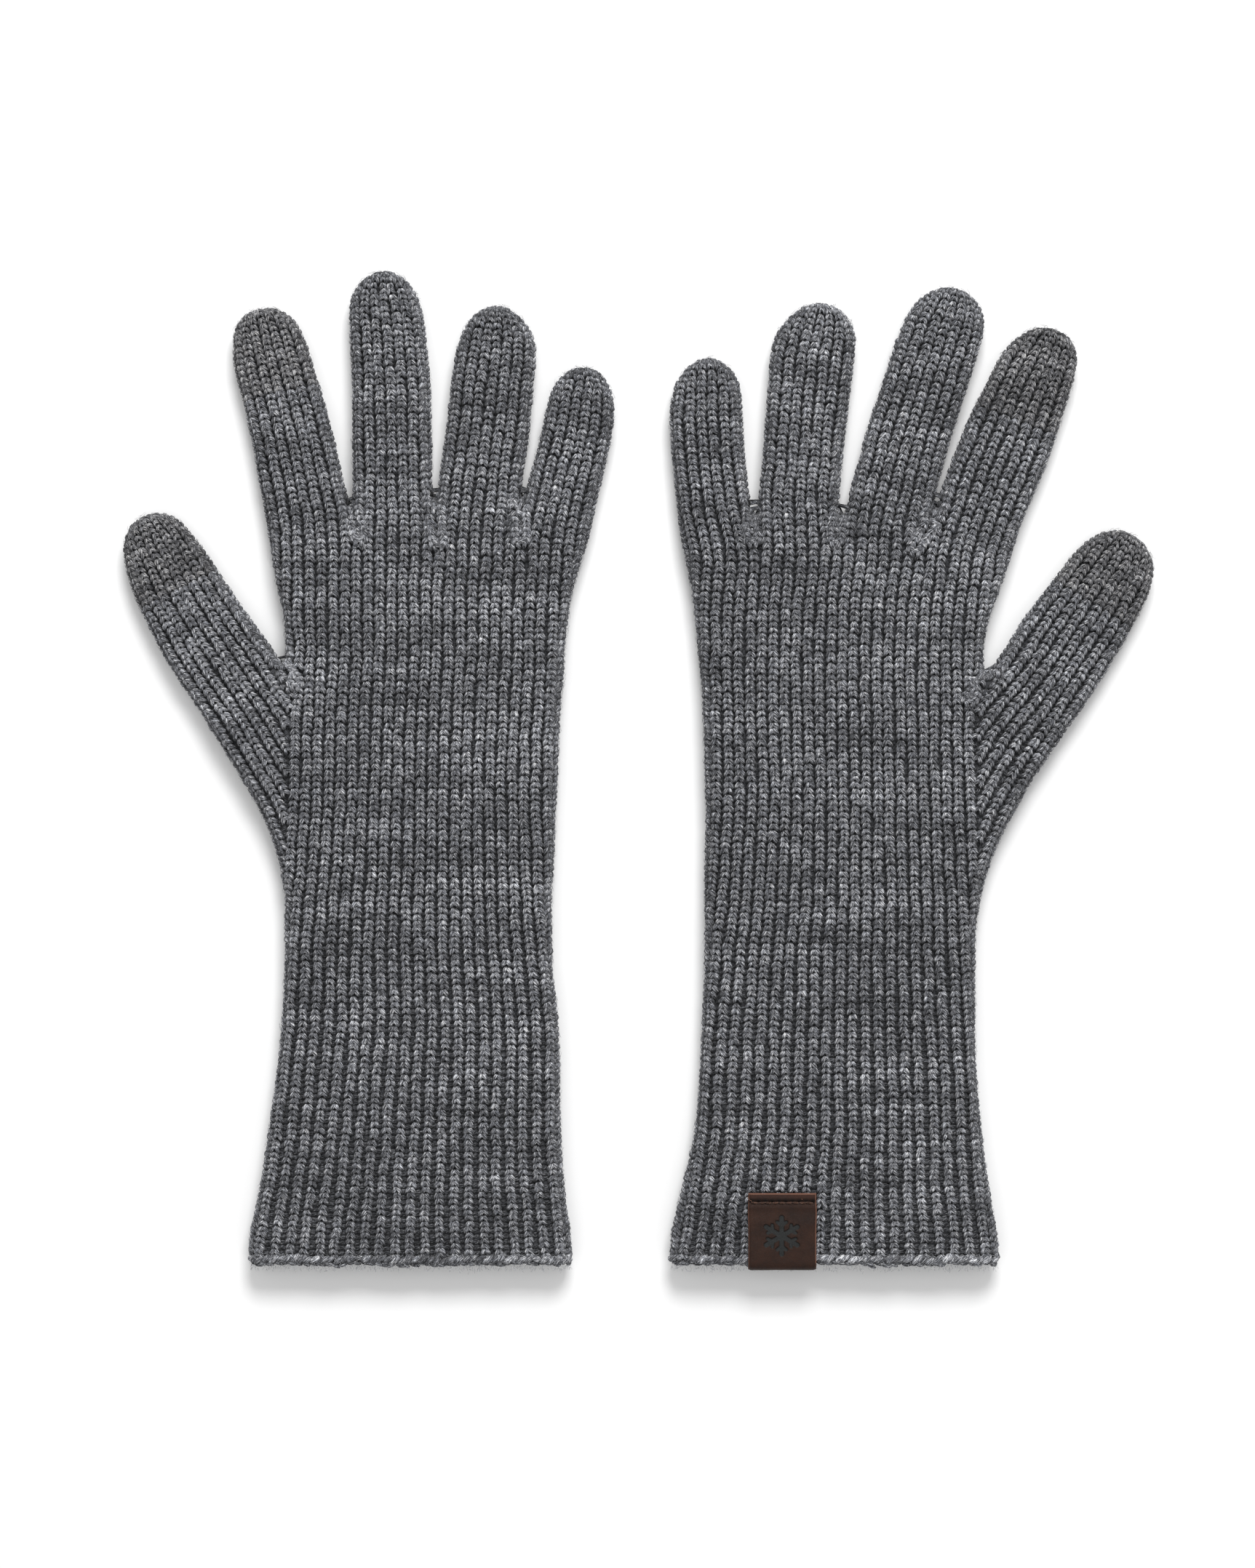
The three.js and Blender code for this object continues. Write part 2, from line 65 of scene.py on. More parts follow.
RIGHT = {
    "name": "right",
    "trunk": [[0.0, -122.9, -21.0], [5.3, -123.4, -21.0], [21.9, -120.4, -23.1], [44.9, -116.7, -24.5], [72.5, -113.3, -25.0], [100.1, -111.9, -27.3], [113.9, -111.9, -27.3], [127.7, -114.0, -26.6], [141.5, -118.8, -26.1], [150.7, -123.9, -25.6], [159.8, -129.4, -25.2], [166.8, -133.5, -25.0], [171.3, -135.4, -24.7], [181.7, -122.9, -24.0], [187.5, -114.4, -23.3], [192.1, -111.7, -23.1], [210.5, -113.0, -21.3], [219.7, -114.7, -18.7], [228.4, -116.5, -16.4]],
    "left_line": [[0, -122.9], [5.3, -123.4], [21.9, -120.4], [44.9, -116.7], [72.5, -113.3], [79.4, -112.4], [100.1, -111.9], [113.9, -111.7], [182.9, -111.7], [192.1, -111.4], [201.3, -112.1], [210.5, -113.0], [219.7, -114.7], [228.9, -116.7], [236.7, -117.2]],
    "right_line": [[0, -21.0], [5.3, -21.0], [21.9, -23.1], [44.9, -24.5], [72.5, -25.0], [100.1, -27.3], [113.9, -27.3], [127.7, -26.6], [141.5, -26.1], [166.8, -25.0], [187.5, -23.3], [210.5, -21.3], [219.7, -18.7], [228.4, -16.4]],
    "first": {"index_finger": 0, "middle_finger": 7, "ring_finger": 14, "little_finger": 21},
    "thumb_edge": [[-111.9, 96.0], [-111.7, 113.9], [-112.1, 118.5], [-113.0, 123.1], [-113.3, 127.7], [-115.1, 132.3], [-116.7, 136.9], [-118.4, 141.5], [-120.9, 146.1], [-123.9, 150.7], [-126.6, 155.3], [-129.4, 159.9], [-132.1, 164.5], [-134.9, 169.1], [-137.7, 173.7], [-140.6, 177.8]],
    "keep": (2, 31, HEM_Y + 184.0),
    "hooks": {"thumb": ("palm", 0, 1, -108.0, 180.8), "index_middle": ("middle_finger", -1, 0, -88.0, 226.5), "middle_ring": ("ring_finger", -1, 0, -63.1, 224.8), "ring_little": ("little_finger", -1, 0, -37.1, 225.9)},
    # base, tip, root, stations along the axis, inner wales, start of the touch tip
    "digits": {
        "index_finger": ([-101.5, 235.8], [-117.6, 303.8], 1.6, [[-13.8, 17.5, 13.8], [-4.6, 16.6, 11.5], [2.3, 16.1, 11.0], [13.8, 15.4, 11.0], [27.6, 14.7, 11.0], [41.4, 14.5, 10.3], [50.6, 14.8, 9.8], [57.5, 14.0, 9.2], [62.1, 13.1, 8.1], [65.5, 11.5, 6.2], [68.1, 9.0, 3.5], [69.5, 5.5, -0.5]], 7, 41),
        "middle_finger": ([-77.6, 236.7], [-80.8, 315.1], 3.5, [[-13.8, 14.3, 14.3], [-3.2, 13.8, 13.8], [3.2, 12.9, 13.1], [11.5, 12.4, 12.9], [25.3, 12.0, 13.3], [41.4, 11.3, 13.6], [52.9, 11.5, 13.0], [64.4, 11.5, 12.0], [70.2, 10.6, 10.3], [74.1, 8.3, 8.1], [76.8, 5.1, 5.1], [78.4, 1.8, 1.8]], 7, None),
        "ring_finger": ([-50.7, 236.7], [-44.5, 304.8], 4.1, [[-13.8, 15.2, 14.3], [-3.2, 14.5, 13.8], [4.6, 13.8, 13.2], [13.8, 13.3, 13.1], [27.6, 12.7, 13.8], [41.4, 12.4, 13.8], [50.6, 11.8, 13.8], [56.4, 10.8, 13.1], [61.0, 9.2, 11.0], [64.4, 6.7, 7.6], [66.7, 3.5, 3.9], [68.1, 1.2, 1.6]], 7, None),
        "little_finger": ([-25.9, 236.7], [-17.8, 285.9], 1.3, [[-13.8, 15.2, 11.0], [-4.6, 13.3, 11.3], [2.8, 11.3, 11.7], [11.5, 10.6, 12.2], [20.7, 9.4, 12.9], [29.9, 9.0, 13.3], [35.6, 8.6, 12.7], [40.2, 7.8, 11.7], [43.7, 6.4, 10.1], [46.5, 4.1, 7.8], [48.3, 1.4, 5.1], [49.5, -0.7, 2.8]], 6, None),
        "thumb": ([-120.9, 171.3], [-156.3, 236.7], 15.4, [[-13.8, 9.2, 20.7], [0.0, 13.3, 18.4], [13.8, 14.3, 16.3], [23.0, 15.2, 15.2], [32.2, 15.8, 14.0], [43.7, 15.5, 12.7], [55.2, 14.7, 11.8], [62.1, 13.3, 10.8], [66.7, 12.0, 9.9], [70.2, 10.3, 8.3], [72.9, 7.8, 5.8], [75.0, 4.1, 2.3]], 8, 48.3),
    },
    # the side curve: the outline moved in by the rounding of the sides, anticlockwise
    "B": [[-26.5, -180.9], [-25.9, -179], [-25.9, -177], [-25.9, -175], [-26, -173], [-26, -171], [-26, -169], [-26.1, -167], [-26.1, -165], [-26.1, -163], [-26.2, -161], [-26.2, -159], [-26.2, -157], [-26.2, -155], [-26.3, -153], [-26.3, -151], [-26.4, -149], [-26.6, -147], [-26.9, -145], [-27.2, -143.1], [-27.6, -141.1], [-27.9, -139.1], [-28.1, -137.1], [-28.3, -135.1], [-28.5, -133.2], [-28.7, -131.2], [-28.8, -129.2], [-29, -127.2], [-29.1, -125.2], [-29.2, -123.2], [-29.3, -121.2], [-29.5, -119.2], [-29.6, -117.2], [-29.6, -115.2], [-29.7, -113.2], [-29.8, -111.2], [-29.8, -109.2], [-29.9, -107.2], [-29.9, -105.2], [-29.9, -103.2], [-30, -101.2], [-30, -99.2], [-30, -97.2], [-30, -95.2], [-30.1, -93.2], [-30.1, -91.2], [-30.1, -89.2], [-30.2, -87.2], [-30.2, -85.2], [-30.3, -83.2], [-30.4, -81.2], [-30.6, -79.2], [-30.8, -77.2], [-31, -75.3], [-31.2, -73.3], [-31.4, -71.3], [-31.7, -69.3], [-31.9, -67.3], [-32.1, -65.3], [-32.3, -63.3], [-32.4, -61.3], [-32.5, -59.3], [-32.5, -57.3], [-32.5, -55.3], [-32.5, -53.3], [-32.5, -51.3], [-32.5, -49.3], [-32.5, -47.3], [-32.5, -45.3], [-32.5, -43.3], [-32.5, -41.3], [-32.5, -39.3], [-32.4, -37.3], [-32.2, -35.3], [-32.1, -33.4], [-32, -31.4], [-31.9, -29.4], [-31.8, -27.4], [-31.7, -25.4], [-31.6, -23.4], [-31.6, -21.4], [-31.5, -19.4], [-31.4, -17.4], [-31.4, -15.4], [-31.3, -13.4], [-31.2, -11.4], [-31, -9.4], [-30.9, -7.4], [-30.8, -5.4], [-30.7, -3.4], [-30.6, -1.4], [-30.5, 0.6], [-30.5, 2.6], [-30.4, 4.6], [-30.4, 6.6], [-30.3, 8.6], [-30.2, 10.6], [-30.1, 12.6], [-30, 14.6], [-29.8, 16.6], [-29.7, 18.6], [-29.6, 20.6], [-29.4, 22.6], [-29.3, 24.6], [-29.1, 26.5], [-28.8, 28.5], [-28.6, 30.5], [-28.5, 32.5], [-28.4, 34.5], [-28.3, 36.5], [-28.2, 38.5], [-28, 40.5], [-27.9, 42.5], [-27.7, 44.5], [-27.5, 46.5], [-27.3, 48.5], [-27, 50.4], [-26.8, 52.4], [-26.5, 54.4], [-26.1, 56.4], [-25.6, 58.3], [-25, 60.2], [-24.4, 62.1], [-23.9, 64], [-23.3, 66], [-22.7, 67.9], [-22.1, 69.8], [-21.5, 71.7], [-20.9, 73.6], [-20.4, 75.5], [-20, 77.5], [-19.6, 79.4], [-19.1, 81.4], [-18.7, 83.3], [-18.3, 85.3], [-17.8, 87.2], [-17.4, 89.2], [-16.9, 91.1], [-16.5, 93.1], [-16, 95], [-15.5, 97], [-15, 98.9], [-14.6, 100.9], [-14.2, 102.8], [-13.7, 104.8], [-13.4, 106.7], [-13.1, 108.7], [-12.9, 110.7], [-12.9, 112.7], [-12.9, 114.7], [-13.1, 116.7], [-13.6, 118.6], [-14.4, 120.4], [-15.8, 121.9], [-17.7, 122.4], [-19.5, 121.7], [-21, 120.4], [-22.1, 118.7], [-22.8, 116.8], [-23.4, 114.9], [-23.9, 113], [-24.4, 111.1], [-24.8, 109.1], [-25.2, 107.2], [-25.6, 105.2], [-26, 103.2], [-26.5, 101.3], [-27, 99.3], [-27.5, 97.4], [-28.1, 95.5], [-28.7, 93.6], [-29.3, 91.7], [-29.8, 89.8], [-30.2, 87.8], [-30.7, 85.9], [-31.4, 84], [-32.4, 82.3], [-33.9, 81], [-35.8, 80.4], [-37.8, 80.5], [-39.6, 81.3], [-41, 82.7], [-41.8, 84.5], [-42.1, 86.5], [-42, 88.5], [-41.8, 90.5], [-41.7, 92.5], [-41.5, 94.5], [-41.2, 96.4], [-40.9, 98.4], [-40.6, 100.4], [-40.3, 102.4], [-40, 104.3], [-39.7, 106.3], [-39.5, 108.3], [-39.3, 110.3], [-39.2, 112.3], [-39, 114.3], [-38.8, 116.3], [-38.6, 118.3], [-38.4, 120.3], [-38.3, 122.3], [-38.1, 124.2], [-37.9, 126.2], [-37.7, 128.2], [-37.6, 130.2], [-37.6, 132.2], [-37.9, 134.2], [-38.5, 136.1], [-39.5, 137.8], [-40.8, 139.3], [-42.4, 140.6], [-44.1, 141.6], [-46.1, 141.5], [-47.8, 140.6], [-49.2, 139.2], [-50.3, 137.5], [-51.1, 135.6], [-51.7, 133.7], [-52.3, 131.8], [-52.7, 129.9], [-53, 127.9], [-53.4, 125.9], [-53.7, 123.9], [-53.9, 122], [-54.2, 120], [-54.4, 118], [-54.6, 116], [-54.8, 114], [-55.1, 112], [-55.3, 110], [-55.5, 108.1], [-55.8, 106.1], [-56, 104.1], [-56.3, 102.1], [-56.6, 100.1], [-56.8, 98.2], [-57.1, 96.2], [-57.4, 94.2], [-57.7, 92.2], [-57.9, 90.2], [-58.2, 88.3], [-58.5, 86.3], [-59, 84.3], [-59.8, 82.5], [-61.2, 81.1], [-63, 80.2], [-64.9, 80], [-66.8, 80.6], [-68.4, 81.8], [-69.5, 83.5], [-70, 85.4], [-70.2, 87.4], [-70.3, 89.4], [-70.4, 91.4], [-70.5, 93.4], [-70.5, 95.4], [-70.5, 97.4], [-70.6, 99.4], [-70.6, 101.4], [-70.6, 103.4], [-70.6, 105.4], [-70.6, 107.4], [-70.7, 109.4], [-70.7, 111.4], [-70.7, 113.4], [-70.8, 115.4], [-70.8, 117.4], [-70.9, 119.4], [-70.9, 121.4], [-71.1, 123.4], [-71.2, 125.4], [-71.4, 127.4], [-71.6, 129.4], [-71.8, 131.3], [-72.1, 133.3], [-72.3, 135.3], [-72.5, 137.3], [-72.7, 139.3], [-73, 141.3], [-73.3, 143.2], [-73.8, 145.2], [-74.5, 147.1], [-75.3, 148.9], [-76.5, 150.5], [-78, 151.8], [-79.8, 152.6], [-81.7, 152.4], [-83.4, 151.4], [-84.8, 149.9], [-85.7, 148.1], [-86.2, 146.2], [-86.3, 144.2], [-86.3, 142.2], [-86.2, 140.2], [-86.1, 138.2], [-86.1, 136.2], [-86, 134.2], [-85.9, 132.2], [-85.8, 130.2], [-85.7, 128.2], [-85.5, 126.2], [-85.4, 124.2], [-85.3, 122.2], [-85.2, 120.2], [-85.2, 118.2], [-85.2, 116.2], [-85.2, 114.2], [-85.2, 112.2], [-85.2, 110.2], [-85.3, 108.2], [-85.3, 106.2], [-85.3, 104.2], [-85.2, 102.2], [-85.2, 100.2], [-85.2, 98.2], [-85.2, 96.2], [-85.1, 94.2], [-85.1, 92.2], [-85.1, 90.2], [-85.1, 88.2], [-85.2, 86.2], [-85.3, 84.2], [-85.6, 82.3], [-86.5, 80.5], [-87.9, 79.1], [-89.7, 78.3], [-91.7, 78.3], [-93.6, 78.9], [-95.1, 80.2], [-96.1, 81.9], [-96.7, 83.8], [-97.2, 85.8], [-97.7, 87.7], [-98.1, 89.7], [-98.6, 91.6], [-99, 93.5], [-99.5, 95.5], [-100, 97.4], [-100.4, 99.4], [-100.9, 101.3], [-101.3, 103.3], [-101.8, 105.2], [-102.3, 107.2], [-102.8, 109.1], [-103.3, 111], [-103.9, 112.9], [-104.4, 114.9], [-105, 116.8], [-105.6, 118.7], [-106.2, 120.6], [-106.7, 122.5], [-107.3, 124.4], [-107.9, 126.4], [-108.4, 128.3], [-109, 130.2], [-109.6, 132.1], [-110.3, 134], [-111, 135.8], [-112, 137.6], [-113.2, 139.2], [-114.7, 140.4], [-116.6, 141], [-118.6, 141], [-120.5, 140.4], [-122, 139], [-122.9, 137.3], [-123.1, 135.3], [-123.1, 133.3], [-123, 131.3], [-122.8, 129.3], [-122.5, 127.3], [-122.1, 125.3], [-121.6, 123.4], [-121.1, 121.5], [-120.6, 119.6], [-120.1, 117.6], [-119.6, 115.7], [-119.1, 113.7], [-118.7, 111.8], [-118.3, 109.8], [-117.9, 107.9], [-117.4, 105.9], [-117, 104], [-116.6, 102], [-116.2, 100], [-115.9, 98.1], [-115.5, 96.1], [-115.2, 94.1], [-114.8, 92.2], [-114.5, 90.2], [-114.1, 88.2], [-113.8, 86.3], [-113.4, 84.3], [-113.1, 82.3], [-112.8, 80.4], [-112.4, 78.4], [-112.1, 76.4], [-111.8, 74.4], [-111.5, 72.5], [-111.2, 70.5], [-110.9, 68.5], [-110.7, 66.5], [-110.4, 64.5], [-110.1, 62.6], [-109.6, 60.6], [-109.2, 58.7], [-108.7, 56.7], [-108.3, 54.8], [-107.8, 52.8], [-107.4, 50.9], [-107.1, 48.9], [-106.9, 46.9], [-106.8, 44.9], [-106.6, 42.9], [-106.5, 40.9], [-106.4, 38.9], [-106.4, 36.9], [-106.5, 34.9], [-106.9, 33], [-107.7, 31.2], [-109.1, 29.7], [-110.9, 28.8], [-112.8, 28.6], [-114.8, 29.2], [-116.4, 30.3], [-117.7, 31.8], [-118.9, 33.4], [-120, 35], [-121.2, 36.7], [-122.3, 38.3], [-123.5, 39.9], [-124.7, 41.6], [-125.9, 43.2], [-127, 44.8], [-128.2, 46.4], [-129.4, 48.1], [-130.5, 49.7], [-131.7, 51.3], [-132.8, 53], [-133.9, 54.6], [-135, 56.3], [-136.1, 57.9], [-137.2, 59.6], [-138.3, 61.3], [-139.4, 63], [-140.5, 64.7], [-141.6, 66.3], [-142.8, 67.9], [-144, 69.5], [-145.2, 71.1], [-146.5, 72.7], [-147.8, 74.1], [-149.5, 75.3], [-151.3, 76], [-153.3, 76], [-155.2, 75.4], [-156.6, 74], [-157.5, 72.3], [-157.9, 70.3], [-157.8, 68.3], [-157.5, 66.3], [-157, 64.4], [-156.5, 62.5], [-156, 60.5], [-155.3, 58.6], [-154.6, 56.8], [-153.8, 54.9], [-153, 53.1], [-152.2, 51.3], [-151.3, 49.5], [-150.4, 47.7], [-149.5, 45.9], [-148.7, 44.1], [-147.8, 42.3], [-146.8, 40.5], [-145.9, 38.8], [-144.9, 37], [-143.9, 35.3], [-142.8, 33.6], [-141.8, 31.9], [-140.7, 30.3], [-139.5, 28.6], [-138.4, 27], [-137.3, 25.3], [-136.2, 23.6], [-135.1, 22], [-134, 20.3], [-132.9, 18.6], [-131.9, 16.9], [-130.8, 15.2], [-129.8, 13.5], [-128.6, 11.9], [-127.6, 10.2], [-126.5, 8.5], [-125.4, 6.8], [-124.4, 5.1], [-123.4, 3.4], [-122.3, 1.7], [-121.3, -0.1], [-120.3, -1.8], [-119.2, -3.5], [-118.2, -5.2], [-117.2, -6.9], [-116.2, -8.7], [-115.3, -10.4], [-114.4, -12.2], [-113.5, -14], [-112.8, -15.9], [-112, -17.7], [-111.3, -19.6], [-110.6, -21.5], [-110, -23.4], [-109.4, -25.3], [-109, -27.2], [-108.5, -29.2], [-108.1, -31.1], [-107.7, -33.1], [-107.3, -35.1], [-107, -37], [-106.8, -39], [-106.6, -41], [-106.6, -43], [-106.6, -45], [-106.6, -47], [-106.6, -49], [-106.6, -51], [-106.6, -53], [-106.6, -55], [-106.6, -57], [-106.6, -59], [-106.6, -61], [-106.7, -63], [-106.7, -65], [-106.8, -67], [-106.9, -69], [-107, -71], [-107.1, -73], [-107.3, -75], [-107.4, -77], [-107.6, -79], [-107.7, -81], [-107.8, -83], [-108, -85], [-108.1, -87], [-108.3, -88.9], [-108.5, -90.9], [-108.7, -92.9], [-109, -94.9], [-109.2, -96.9], [-109.5, -98.9], [-109.7, -100.9], [-110, -102.8], [-110.3, -104.8], [-110.6, -106.8], [-110.9, -108.8], [-111.1, -110.8], [-111.4, -112.7], [-111.7, -114.7], [-112, -116.7], [-112.3, -118.7], [-112.6, -120.6], [-112.9, -122.6], [-113.2, -124.6], [-113.6, -126.6], [-113.9, -128.5], [-114.2, -130.5], [-114.6, -132.5], [-114.9, -134.4], [-115.3, -136.4], [-115.6, -138.4], [-116.1, -140.3], [-116.5, -142.3], [-117, -144.2], [-117.4, -146.2], [-117.7, -148.2], [-117.9, -150.1], [-118, -152.1], [-117.8, -154.1], [-117.7, -156.1], [-117.6, -158.1], [-117.6, -160.1], [-117.6, -162.1], [-117.7, -164.1], [-117.7, -166.1], [-117.7, -168.1], [-117.8, -170.1], [-117.8, -172.1], [-117.8, -174.1], [-117.9, -176.1], [-117.9, -178.1], [-117.7, -180.1], [-116.3, -181.3], [-114.3, -181.5], [-112.3, -181.5], [-110.3, -181.5], [-108.3, -181.5], [-106.3, -181.5], [-104.3, -181.5], [-102.3, -181.5], [-100.3, -181.5], [-98.3, -181.5], [-96.3, -181.5], [-94.3, -181.5], [-92.3, -181.5], [-90.3, -181.5], [-88.3, -181.5], [-86.3, -181.5], [-84.3, -181.5], [-82.3, -181.5], [-80.3, -181.5], [-78.3, -181.5], [-76.3, -181.5], [-74.3, -181.5], [-72.3, -181.5], [-70.3, -181.5], [-68.3, -181.5], [-66.3, -181.5], [-64.3, -181.5], [-62.3, -181.5], [-60.3, -181.5], [-58.3, -181.5], [-56.3, -181.5], [-54.3, -181.5], [-52.3, -181.5], [-50.3, -181.5], [-48.3, -181.5], [-46.3, -181.5], [-44.3, -181.5], [-42.3, -181.5], [-40.3, -181.5], [-38.3, -181.5], [-36.3, -181.5], [-34.3, -181.5], [-32.3, -181.5], [-30.3, -181.5], [-28.3, -181.5]],
}
